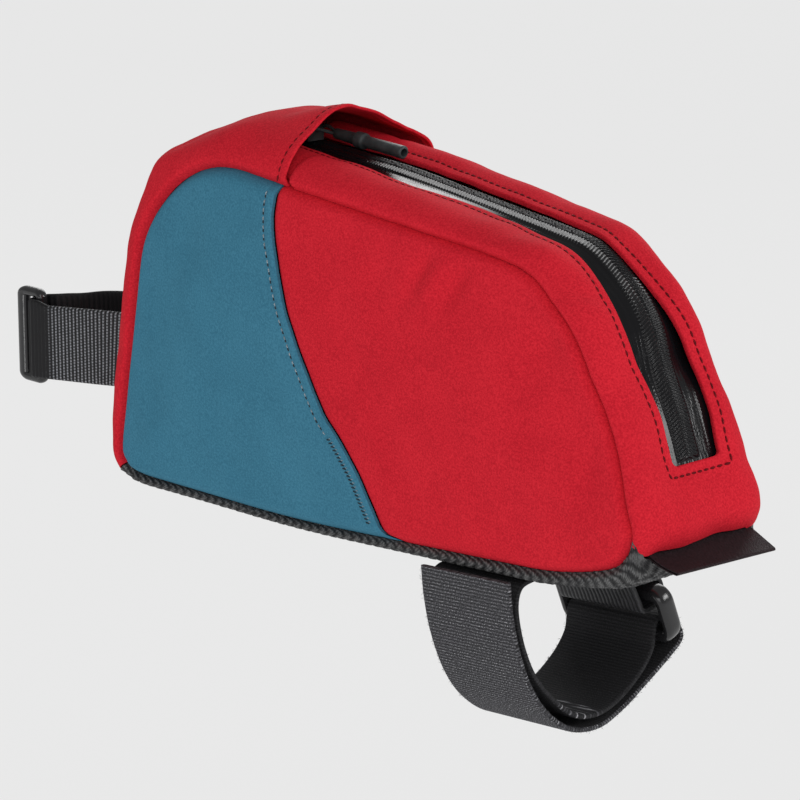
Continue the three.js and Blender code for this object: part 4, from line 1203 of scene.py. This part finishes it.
def strip_profile(width, thick, steps):
    """Closed outline of a strip: two faces and two half-round edges, as across, out and face."""
    edge = np.linspace(-np.pi / 2, np.pi / 2, 7)[1:-1]
    flat = np.linspace(-1, 1, steps) * (width / 2 - thick / 2)
    out = np.full(steps, thick / 2)
    across = np.concatenate([flat, width / 2 - thick / 2 + thick / 2 * np.cos(edge), flat[::-1],
                             -width / 2 + thick / 2 - thick / 2 * np.cos(edge)])
    height = np.concatenate([out, -thick / 2 * np.sin(edge), -out, thick / 2 * np.sin(edge)])
    face = np.concatenate([np.ones(steps), np.zeros(5), -np.ones(steps), np.zeros(5)])
    return across, height, face


def strap_map(travel, across, face):
    """Texture map of a strap: the length along it and the place across it."""
    lay = np.where(face < 0, across + INNER_FACE, across)
    return np.stack(np.broadcast_arrays(travel[:, None], lay[None]), axis=-1)


def strap(name, path, aside, out, profile, relief):
    """Profile carried along a path; relief(travel, across) raises both faces."""
    across, height, face = profile
    travel = travelled(path)
    raised = height + face * relief(travel[:, None], across[None])
    grid = path[:, None] + aside[:, None] * across[None, :, None] + out[:, None] * raised[..., None]
    return tube(name, grid, strap_map(travel, across, face))


def share_of(tree, factor, low, high):
    """A factor from -1 to 1 carried to a range from low to high."""
    return carry(tree, factor, -1.0, 1.0, low, high)


def outer_face(tree, v):
    """1 on a strap's outer face, 0 on its inner one."""
    return maths(tree, "LESS_THAN", v, INNER_FACE / 2 * MM)


# %% [markdown]
# The stem strap is webbing: its weave stands up as ribs across the strap, each a column of short pale
# dashes on black. The ribs are in the mesh, where they notch the strap's edges. The dashes are only a
# change of colour, so they come from the material. Shade is painted there too: the dashes are dimmed
# from near the fold round the buckle onwards and left off the inner face.

# %% Stem strap
WEBBING = 1.6
WEBBING_RIB = 1.9
WEBBING_RELIEF = 0.14
# length along the stem strap from which painted shade dims the pale dashes
PAINTED_SHADE_PAST = 47
STEM_HEIGHT = 25.4
STEM_MIDDLE = 37.9
STEM_DROOP = 0.1
STEM_ROLL = 0.12
STEM_BAG_END = -117.2
STEM_LEAN = 0.17
STEM_SETTLE = 30.0
STEM_FLARE = 1.6
FLARE_FROM = 50.0
FLARE_RUN = 8.0
STEM_LOOP = (  # x from the bag end and y of the loop in plan
    (0, -8.6), (-29.4, -8.9), (-46, -9), (-54.5, -9.1), (-60, -8.9), (-61.9, -7.7), (-62.1, -5.5),
    (-61.8, -3.3), (-60, -2.1), (-56.8, -0.8), (-53.4, 4), (-49.4, 8.6), (-43, 11.4), (-32, 12.2), (0, 11),
)


def rib_cloth(name, ground, dash, pitch, dash_pitch, shaded_past):
    """Woven ribs: columns of pale dashes a pitch apart, with painted shade that dims them from a length along
    the strap onwards and on the inner face.
    """
    material, tree, shader = new_material(name, Roughness=0.62, Specular_IOR_Level=0.25)
    u, v = map_place(tree)
    column = share_of(tree, wave(tree, u, pitch * MM), -0.35, 1.0)
    shift = times(tree, maths(tree, "FLOOR", maths(tree, "DIVIDE", u, pitch * MM)), 2.4)
    phase = plus(tree, times(tree, v, 2 * math.pi / (dash_pitch * MM)), shift)
    dashes = share_of(tree, maths(tree, "SINE", phase), 0.25, 1.0)
    fibre = noise(tree, object_place(tree), 1500, 2)
    # painted shade: from a length along the strap, round the fold at the buckle and along the far leg, the pale
    # dashes are dimmed nearly to black, and on the inner face they are left off
    painted_shade_fade = carry(tree, u, shaded_past * MM, (shaded_past + 5) * MM, 1.0, 0.12)
    painted_unshaded = times(tree, painted_shade_fade, outer_face(tree, v))
    lit = times(tree, times(tree, column, dashes), times(tree, fibre, painted_unshaded))
    dye(tree, shader, lit, (0.06, ground), (0.42, dash))
    bump(tree, shader, plus(tree, lit, times(tree, fibre, 0.4)), 0.25 * MM)
    return material


def stem_grid():
    """Webbing loop: the plan carried up by the strap's height, sheared to the leaning end wall."""
    plan = spline(STEM_LOOP, 640)
    ahead = unit(np.gradient(plan, axis=0))
    across, height, face = strip_profile(STEM_HEIGHT, WEBBING, 16)
    travel = travelled(plan)
    raised = height + face * WEBBING_RELIEF * np.sin(2 * np.pi * travel[:, None] / WEBBING_RIB)
    settle = 1 - smooth(-plan[:, :1] / STEM_SETTLE)
    x = STEM_BAG_END + plan[:, :1] + settle * STEM_LEAN * across - ahead[:, 1:] * raised
    y = plan[:, 1:] + ahead[:, :1] * raised
    at_turn = smooth((-plan[:, :1] - FLARE_FROM) / FLARE_RUN)
    flare = STEM_FLARE * at_turn * np.clip(across, 0, None) / STEM_HEIGHT * 2
    sag = STEM_DROOP * plan[:, :1] + STEM_ROLL * (plan[:, 1:] - STEM_LOOP[0][1])
    z = STEM_MIDDLE + across + flare + sag
    return np.stack([x, y, z], axis=-1), strap_map(travel, across, face)


webbing = rib_cloth("webbing", (0.006, 0.006, 0.007), (0.29, 0.30, 0.325), WEBBING_RIB, 1.0, PAINTED_SHADE_PAST)
dress(tube("stem_webbing", *stem_grid()), webbing, "webbing", "stem_strap")

# %% [markdown]
# The tube strap is hook-and-loop. It leaves the base, hangs round where the tube would be, turns back
# through a plastic ring and is pressed onto itself. Its outside is ribbed and its inside is napped.

# %% Tube strap and ring tab
STRAP_MIDDLE = 47.5
STRAP_LIFT = 2.4
STRAP_TILT = math.radians(3.5)
STRAP_WIDTH = 36.0
STRAP_THICKNESS = 1.6
ROW_PITCH = 1.05
ROW_RELIEF = 0.05
RING_TURN = 128.0
# where along the strap the painted highlight streaks lie, and how far they reach either way
PAINTED_HIGHLIGHT_MIDDLE = 67.0
PAINTED_HIGHLIGHT_REACH = 11.0
TAB_WIDTH = 34.0
TAB_THICKNESS = 1.4
TAB_RIB = 1.6
TAB_RELIEF = 0.08
STRAP_ROUTE = (  # y and z across the tube, from the base round to the cut end
    (-8, -0.5), (-18, -0.5), (-23, -2.4), (-24.5, -9), (-22, -21), (-16.3, -32), (-4.2, -43.4), (6, -46.6),
    (16, -44.8), (26, -39), (31.8, -33), (33.2, -28.4), (34.3, -24.6), (37.5, -22.9), (41.5, -23.2),
    (44.5, -27.7), (45.4, -32), (39.6, -36.2), (28.6, -42.2), (18.8, -47.2), (8, -50.4), (-4, -48.4),
    (-14, -41), (-20.4, -31.6), (-24.7, -20), (-26.8, -9), (-27.4, 0.6),
)
TAB_ROUTE = (  # y and z likewise, from the base through the ring and back
    (8, -0.4), (18, -0.6), (25, -4), (33, -9.4), (37.5, -12.1), (38.7, -16), (37.3, -19), (33.9, -20.1),
    (30.1, -20.3), (28.1, -16.4), (23.6, -8.6), (17, -3.4), (9, -2.9),
)
along_base = np.array([math.cos(STRAP_TILT), 0, math.sin(STRAP_TILT)])
above_base = np.array([-math.sin(STRAP_TILT), 0, math.cos(STRAP_TILT)])


def beside_base(local):
    """Places points given along, across and above the rising base."""
    turned = local[..., :1] * along_base + local[..., 1:2] * ACROSS + local[..., 2:] * above_base
    return turned + np.array([STRAP_MIDDLE, 0, STRAP_LIFT])


def ribbon(name, route, width, thick, count, steps, relief):
    """Ribbon along a route across the tube, as wide along the base as the strap is."""
    line = spline(route, count)
    ahead = unit(np.gradient(line, axis=0))
    path = beside_base(np.stack([np.zeros(count), line[:, 0], line[:, 1]], axis=1))
    out = ahead[:, :1] * above_base - ahead[:, 1:] * ACROSS
    aside = np.tile(along_base, (count, 1))
    return strap(name, path, aside, out, strip_profile(width, thick, steps), relief)


def hook_cloth():
    """Ribbed hook-and-loop: fine rows of uneven specks outside, black pile inside and before the ring, and pale
    painted highlight streaks, as of gloss, on the outside round the bottom of the loop.
    """
    material, tree, shader = new_material("hook_and_loop", Roughness=0.8, Specular_IOR_Level=0.2)
    u, v = map_place(tree)
    row = share_of(tree, wave(tree, u, ROW_PITCH * MM), 0.3, 1.0)
    spread = add(tree, "CombineXYZ", {0: u, 1: times(tree, v, 0.85)}).outputs[0]
    speck = carry(tree, noise(tree, spread, 2800, 1), 0.36, 0.66, 0.0, 1.0)
    after_ring = maths(tree, "GREATER_THAN", u, RING_TURN * MM)
    pressed = share_of(tree, times(tree, after_ring, outer_face(tree, v)), -0.55, 1.0)
    lit = times(tree, times(tree, row, speck), pressed)
    # painted highlight: pale drawn-out streaks on the outer face near the bottom of the loop stand in for
    # glossy reflections; the ramp's palest stop is there for them
    drawn = add(tree, "CombineXYZ", {0: u, 1: times(tree, v, 0.06)}).outputs[0]
    bottom = maths(tree, "COMPARE", u, PAINTED_HIGHLIGHT_MIDDLE * MM)
    bottom.node.inputs[2].default_value = PAINTED_HIGHLIGHT_REACH * MM
    painted_highlight_streak = carry(tree, noise(tree, drawn, 900, 2), 0.52, 0.66, 0.0, 1.2)
    lit = plus(tree, lit, times(tree, painted_highlight_streak, times(tree, outer_face(tree, v), bottom)))
    dye(tree, shader, lit, (0.03, (0.016, 0.016, 0.017)), (0.3, (0.058, 0.057, 0.063)),
        (0.85, (0.19, 0.19, 0.205)), (1.0, (0.5, 0.5, 0.52)))
    bump(tree, shader, plus(tree, row, speck), 0.16 * MM)
    return material


def tab_cloth():
    """Dark webbing of the ring tab: ribs along it and a dusty fibre."""
    material, tree, shader = new_material("tab_webbing", Roughness=0.5, Specular_IOR_Level=0.35)
    v = map_place(tree)[1]
    fibre = noise(tree, object_place(tree), 1600, 2)
    rib = times(tree, share_of(tree, wave(tree, v, TAB_RIB * MM), 0.2, 1.0), fibre)
    dye(tree, shader, rib, (0.1, (0.005, 0.005, 0.006)), (0.55, (0.05, 0.05, 0.054)))
    bump(tree, shader, rib, 0.2 * MM)
    return material


def strap_rows(travel, across):
    """Fine ribs across the tube strap."""
    return ROW_RELIEF * np.sin(2 * np.pi * travel / ROW_PITCH)


def tab_ribs(travel, across):
    """Ribs along the ring tab."""
    return TAB_RELIEF * np.sin(2 * np.pi * across / TAB_RIB)


dress(ribbon("tube_strap_ribbon", STRAP_ROUTE, STRAP_WIDTH, STRAP_THICKNESS, 640, 13, strap_rows),
      hook_cloth(), "hook_and_loop", "tube_strap")
dress(ribbon("ring_tab_ribbon", TAB_ROUTE, TAB_WIDTH, TAB_THICKNESS, 100, 127, tab_ribs),
      tab_cloth(), "webbing", "ring_tab")

# %% [markdown]
# The pile of hook-and-loop frays at its edges. A few thousand short bent fibres along both edges of the
# strap and over its pile make that fuzz; each is a three-sided tube that ends in a point.

# %% Fuzz of the tube strap
FIBRES = 4400
FIBRE_RINGS = 4
FIBRE_RADIUS = 0.07
STRAP_ROWS = 900
FIRST_ROW, PILE_END, LAST_ROW = 60, 210, 895
PILE_FIBRES = 0.3
FRAY_REACH = 2.5
FIBRE_SHORTEST, FIBRE_LONGER = 0.35, 0.7
FIBRE_OUT, FIBRE_STRAY = 0.4, 0.55
FIBRE_BEND, FIBRE_DROOP = 0.5, 0.6


def fuzz():
    """Bent fibres at random places beside the strap: root + out * s + droop * s^2, thinner with s."""
    chance = np.random.default_rng(5)
    line = spline(STRAP_ROUTE, STRAP_ROWS)
    ahead = unit(np.gradient(line, axis=0))
    row = np.where(chance.random(FIBRES) < PILE_FIBRES, chance.integers(FIRST_ROW, PILE_END, FIBRES),
                   chance.integers(FIRST_ROW, LAST_ROW, FIBRES))
    sign = chance.choice([-1.0, 1.0], FIBRES)
    on_pile = row < PILE_END
    inward = np.where(on_pile, chance.random(FIBRES) * STRAP_WIDTH, chance.random(FIBRES) ** 3 * FRAY_REACH)
    along = sign * (STRAP_WIDTH / 2 - inward)
    face = chance.choice([-1.0, 1.0], FIBRES) * STRAP_THICKNESS / 2 * chance.random(FIBRES)
    normal = np.stack([-ahead[row, 1], ahead[row, 0]], axis=1)
    local = np.concatenate([along[:, None], line[row] + normal * face[:, None]], axis=1)
    root = beside_base(local)
    out = unit(along_base * (sign * (FIBRE_OUT + chance.random(FIBRES)))[:, None]
               + chance.normal(size=(FIBRES, 3)) * FIBRE_STRAY)
    bend = chance.normal(size=(FIBRES, 3)) * FIBRE_BEND
    s = np.linspace(0, 1, FIBRE_RINGS)[None, :, None]
    length = (FIBRE_SHORTEST + FIBRE_LONGER * chance.random(FIBRES) ** 2)[:, None, None]
    centre_line = root[:, None] + length * (out[:, None] * s + bend[:, None] * s * s * FIBRE_DROOP)
    beside = unit(np.cross(out, [0.3, 0.5, 0.8]))
    other = np.cross(out, beside)
    angle = np.arange(3) * 2 * np.pi / 3
    spoke = beside[:, None] * np.cos(angle)[:, None] + other[:, None] * np.sin(angle)[:, None]
    size = FIBRE_RADIUS * (1.05 - s)[..., None]
    return small_tubes("tube_strap_fuzz", centre_line[:, :, None] + size * spoke[:, None])


dress(fuzz(), thread("pile", (0.05, 0.05, 0.055)), "hook_and_loop")

# %% [markdown]
# The buckle and the ring are moulded plastic links: a rounded bar carried round a rounded rectangle.
# A superellipse for the bar's section gives the flat faces and soft edges that moulded plastic has.

# %% Plastic links
def black_plastic(name, smoothest, dullest):
    """Moulded plastic: nearly black, satin or dull, with a fine spark-eroded grain."""
    material, tree, shader = new_material(name, Base_Color=(0.014, 0.014, 0.015, 1), Specular_IOR_Level=0.5)
    where = object_place(tree)
    gloss(tree, shader, noise(tree, where, 300, 3), smoothest, dullest)
    bump(tree, shader, noise(tree, where, 2200, 2), 0.02 * MM)
    return material


def blunt(share, power):
    """One coordinate of a superellipse: sign(s) |s|^(2 / power)."""
    return np.sign(share) * np.abs(share) ** (2 / power)


def link(width, height, depth, side_bar, end_bar, corner, power):
    """Grid of a link in its own plane: bars of a superellipse section round a rounded rectangle."""
    half_w, half_h = (width - side_bar) / 2, (height - end_bar) / 2
    corner = min(corner, half_w, half_h)
    quarter = np.linspace(0, np.pi / 2, 12)
    centres = ((half_w - corner, half_h - corner), (corner - half_w, half_h - corner),
               (corner - half_w, corner - half_h), (half_w - corner, corner - half_h))
    outline = []
    for k, (x, y) in enumerate(centres):
        angle = quarter + k * np.pi / 2
        bend = np.stack([x + corner * np.cos(angle), y + corner * np.sin(angle)], axis=1)
        after = centres[(k + 1) % 4]
        end_angle = (k + 1) * np.pi / 2
        nearby = np.array([after[0] + corner * math.cos(end_angle), after[1] + corner * math.sin(end_angle)])
        run = bend[-1] + (nearby - bend[-1]) * np.linspace(0, 1, 24)[1:-1, None]
        outline += [bend, run]
    line = np.concatenate(outline)
    ahead = unit(np.roll(line, -1, axis=0) - np.roll(line, 1, axis=0))
    aside = np.stack([ahead[:, 1], -ahead[:, 0]], axis=1)
    bar = side_bar / 2 * aside[:, :1] ** 2 + end_bar / 2 * aside[:, 1:] ** 2
    around = round_angles(28)
    across, out = blunt(np.cos(around), power), blunt(np.sin(around), power) * depth / 2
    flat = line[:, None] + aside[:, None] * (bar * across)[..., None]
    return np.concatenate([flat, np.broadcast_to(out[None, :, None], (*flat.shape[:2], 1))], axis=-1)


plastic = black_plastic("black_plastic", 0.14, 0.26)
BUCKLE_PLACE = np.array([-180.6, -5.5, 32.9])
BUCKLE_EDGE = -2.7
BUCKLE_STRETCH = 1.5
buckle = link(width=12, height=32.8, depth=3.8, side_bar=3.3, end_bar=3.2, corner=1.5, power=2.3)
outer_bar = np.minimum(buckle[..., 0] - BUCKLE_EDGE, 0)
buckle[..., 0] += (BUCKLE_STRETCH - 1) * outer_bar
buckle_grid = BUCKLE_PLACE + np.stack([buckle[..., 0], -buckle[..., 2], buckle[..., 1]], axis=-1)
dress(tube("buckle", buckle_grid, ends=False), plastic, "black_plastic", "strap_buckle")

RING_PLACE = (0.5, 36.0, -21.8)
RING_LEAN = math.radians(20)
ring = link(width=44.4, height=19, depth=6.4, side_bar=3.2, end_bar=4.6, corner=3.4, power=2.6)
ring_up = np.array([0, -math.sin(RING_LEAN), math.cos(RING_LEAN)])
ring_out = np.array([0, -math.cos(RING_LEAN), -math.sin(RING_LEAN)])
ring_local = (np.array(RING_PLACE) + ring[..., :1] * np.array([1.0, 0, 0]) + ring[..., 1:2] * ring_up
              + ring[..., 2:] * ring_out)
dress(tube("ring", beside_base(ring_local), ends=False), plastic, "black_plastic", "strap_ring")

# %% [markdown]
# The zip pull is a moulded rubber sleeve with a collar, open at its end, on a thin doubled cord that
# loops through the slider under the hood. The sleeve is a profile turned about its own axis.

# %% Pull and cord
PULL_START = np.array([-37.5, 1.5, 118.0])
PULL_END = np.array([-7.3, 1.0, 115.8])
PULL_BORE = 1.25
PULL_EASE = 0.35
PULL_STEPS = 90
PULL_PROFILE = {
    "along": (0, 0.27, 0.3, 0.325, 0.43, 0.455, 0.49, 1),
    "radius": (1.6, 1.85, 1.9, 2.5, 2.5, 1.95, 1.85, 2.0),
}


def grey_rubber():
    """Moulded rubber: grey-green with a dull skin and a fine mould grain."""
    material, tree, shader = new_material("grey_rubber", Specular_IOR_Level=0.4)
    where = object_place(tree)
    dye(tree, shader, noise(tree, where, 400, 3), (0.35, (0.020, 0.027, 0.028)), (0.7, (0.042, 0.052, 0.053)))
    gloss(tree, shader, noise(tree, where, 700, 2), 0.38, 0.55)
    bump(tree, shader, noise(tree, where, 1500, 2), 0.04 * MM)
    return material


def pull_grid():
    """Sleeve turned about its axis: the outside with eased ends, then the bore back again."""
    length = np.linalg.norm(PULL_END - PULL_START)
    axis = (PULL_END - PULL_START) / length
    share = np.linspace(0, 1, PULL_STEPS)
    outside = cubic(PULL_PROFILE["along"], PULL_PROFILE["radius"], share)
    ease = np.minimum(share, 1 - share) * length
    outside = outside - PULL_EASE * np.clip(1 - ease / PULL_EASE, 0, 1) ** 2
    along = np.concatenate([share, share[::-1]])
    size = np.concatenate([outside, np.full(PULL_STEPS, PULL_BORE)])
    first = unit(np.cross(axis, [0, 0, 1.0]))
    second = np.cross(axis, first)
    angle = round_angles(32)[:, None, None]
    spoke = first * np.cos(angle) + second * np.sin(angle)
    return PULL_START + axis * (along * length)[None, :, None] + spoke * size[None, :, None]


dress(tube("pull_sleeve", pull_grid(), ends=False), grey_rubber(), "grey_rubber", "pull_tube")

CORD_RADIUS = 0.55
CORD_SPREAD = np.array([0, 0.66, 0])
CORD_BOW = np.array([6.5, 0, 1.6])
CORD_TURN = np.array([0.8, 0, 0])
CORD_INSIDE = 0.12
eye_low, eye_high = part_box("pull_cord")
cord_side = np.array([0, (eye_high.y - eye_low.y) / 2 / MM - CORD_RADIUS, 0])
cord_eye = np.array([eye_low.x / MM + CORD_RADIUS, 0.0, eye_low.z / MM + CORD_RADIUS])


def cord_grid():
    """Round cord from the sleeve's bore round the slider's eye and back into the bore."""
    inside = PULL_START + (PULL_END - PULL_START) * CORD_INSIDE
    bow, turning = cord_eye + CORD_BOW, cord_eye + CORD_TURN
    route = [inside - CORD_SPREAD, PULL_START - CORD_SPREAD, bow - 0.75 * cord_side, turning - cord_side,
             cord_eye,
             turning + cord_side, bow + 0.75 * cord_side, PULL_START + CORD_SPREAD, inside + CORD_SPREAD]
    line = spline(route, 120)
    ahead = unit(np.gradient(line, axis=0))
    up = unit(np.cross(ahead, np.cross(np.array([0, 0, 1.0]), ahead)))
    beside = np.cross(ahead, up)
    angle = round_angles(10)[None, :, None]
    return line[:, None] + CORD_RADIUS * (beside[:, None] * np.cos(angle) + up[:, None] * np.sin(angle))


cord_thread = thread("cord_thread", (0.060, 0.068, 0.070))
dress(tube("pull_cord_loop", cord_grid()), cord_thread, "webbing", "pull_cord")
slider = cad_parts["zip_slider"]
slider.data.materials.clear()
slider.data.materials.append(black_plastic("slider_plastic", 0.5, 0.65))

# %% [markdown]
# The label is a strip of woven ribbon folded in half and caught in the tail seam. Its face is left
# plain. The grid runs out along the top layer, round the fold and back along the lower layer.

# %% Label
LABEL_HALF = 21.2
LABEL_MIDDLE = 0.6
LABEL_REACH = 14.4
LABEL_ROOT = -1.5
LABEL_LEVEL = 4.5
LABEL_CURL = 2.0
LABEL_FOLD = 0.42
LABEL_CLOTH = 0.3
LABEL_SKIN = 0.1
LABEL_ROWS = 30


def label_cloth():
    """Plain dark ribbon: a fine satin weave with a faint lustre."""
    material, tree, shader = new_material("label_cloth", Roughness=0.6, Specular_IOR_Level=0.15)
    u, v = map_place(tree)
    weave = times(tree, wave(tree, u, 0.5 * MM), wave(tree, v, 0.7 * MM))
    fibre = noise(tree, object_place(tree), 1300, 2)
    dye(tree, shader, fibre, (0.3, (0.011, 0.006, 0.007)), (0.7, (0.026, 0.014, 0.017)))
    bump(tree, shader, plus(tree, weave, fibre), 0.05 * MM)
    return material


def label_grid():
    """Folded strip: out along the seam's normal, round a half circle and back, one corner curled up."""
    point, normal = seam_at(np.array(float(TAIL)))
    out_dir = np.array([normal[0], 0, normal[1]])
    lift_dir = np.array([-normal[1], 0, normal[0]])
    run = np.linspace(LABEL_ROOT, LABEL_REACH - LABEL_FOLD, LABEL_ROWS)
    bend = np.linspace(np.pi / 2, -np.pi / 2, 11)[1:-1]
    out = np.concatenate([run, LABEL_REACH - LABEL_FOLD + LABEL_FOLD * np.cos(bend), run[::-1]])
    layer = np.full(LABEL_ROWS, LABEL_FOLD)
    lift = np.concatenate([layer, LABEL_FOLD * np.sin(bend), -layer])
    share = np.linspace(0, 1, 61)
    y = LABEL_MIDDLE + LABEL_HALF * (2 * share - 1)
    bent = np.maximum(out - LABEL_LEVEL, 0) / (LABEL_REACH - LABEL_LEVEL)
    curl = LABEL_CURL * (1 - share)[None] * bent[:, None] ** 2
    origin = np.array([point[0], 0, point[1]])
    return (origin + out[:, None, None] * out_dir + (lift[:, None] + curl)[..., None] * lift_dir
            + y[None, :, None] * ACROSS)


label = label_grid()
label_out = normals_of(label)
if label_out[LABEL_ROWS // 3, :, 2].mean() < 0:
    label_out = -label_out
dress(slab("tail_label", label + label_out * LABEL_SKIN, label - label_out * (LABEL_CLOTH - LABEL_SKIN)),
      label_cloth(), "label_cloth", "end_label")

# %% [markdown]


# %% [markdown]
# The stage is a wide pale light table well below the bag, so that the bag hangs clear of its own shadow,
# an even surround and soft lights: a large one over the camera's right shoulder, a weaker one from the
# near side, one behind that shines along the zip as a window would, and a small one for its lower end.

# %% Stage and light
FLOOR_DROP = 0.30
FLOOR_RADIUS = 40.0
FLOOR_GLOW = 0.8
SURROUND = 0.38


def floor_material():
    """Pale table that glows evenly, with barely visible unevenness."""
    material, tree, shader = new_material(
        "floor", Roughness=0.9, Specular_IOR_Level=0.0, Emission_Strength=FLOOR_GLOW)
    tone = noise(tree, object_place(tree), 0.6, 2)
    pale = ramp(tree, tone, (0.2, (0.98, 0.98, 0.98)), (0.8, (1.0, 1.0, 1.0)))
    tree.links.new(pale, shader.inputs["Emission Color"])
    dye(tree, shader, tone, (0.2, (0.018, 0.018, 0.018)), (0.8, (0.022, 0.022, 0.022)))
    return material


floor_corners = np.array([(-1, -1, 0), (1, -1, 0), (1, 1, 0), (-1, 1, 0)]) * FLOOR_RADIUS - (0, 0, FLOOR_DROP)
floor = put_mesh("floor", floor_corners / MM, [(0, 1, 2, 3)])
floor.data.materials.append(floor_material())

world = bpy.data.worlds.new("studio")
world.use_nodes = True
surround = world.node_tree.nodes["Background"]
surround.inputs["Color"].default_value = (1, 1, 1, 1)
surround.inputs["Strength"].default_value = SURROUND
scene.world = world
right = Vector((math.cos(VIEW_AZIMUTH), math.sin(VIEW_AZIMUTH), 0))
up = Vector((0, 0, 1))


def soft_light(name, offset, size, watts):
    """Square area light that looks at the bag."""
    light = bpy.data.objects.new(name, bpy.data.lights.new(name, "AREA"))
    light.data.size = size
    light.data.energy = watts
    light.location = VIEW_TARGET + offset
    light.rotation_mode = "QUATERNION"
    light.rotation_quaternion = (-offset).to_track_quat("-Z", "Y")
    scene.collection.objects.link(light)


soft_light("key", back * 1.5 + right * 0.25 + up * 0.3, 1.2, 9.9)
soft_light("fill", Vector((-0.12, -1.25, -0.2)), 0.38, 2.6)
soft_light("window", Vector((-0.5, 0.674, 0.52)) * 1.8, 1.3, 14.5)
soft_light("strip", Vector((0.796, 0.513, 0.336)) * 1.4, 0.4, 5.2)
scene.view_settings.view_transform = "Standard"
print("four soft lights, floor", FLOOR_DROP, "m below the origin")
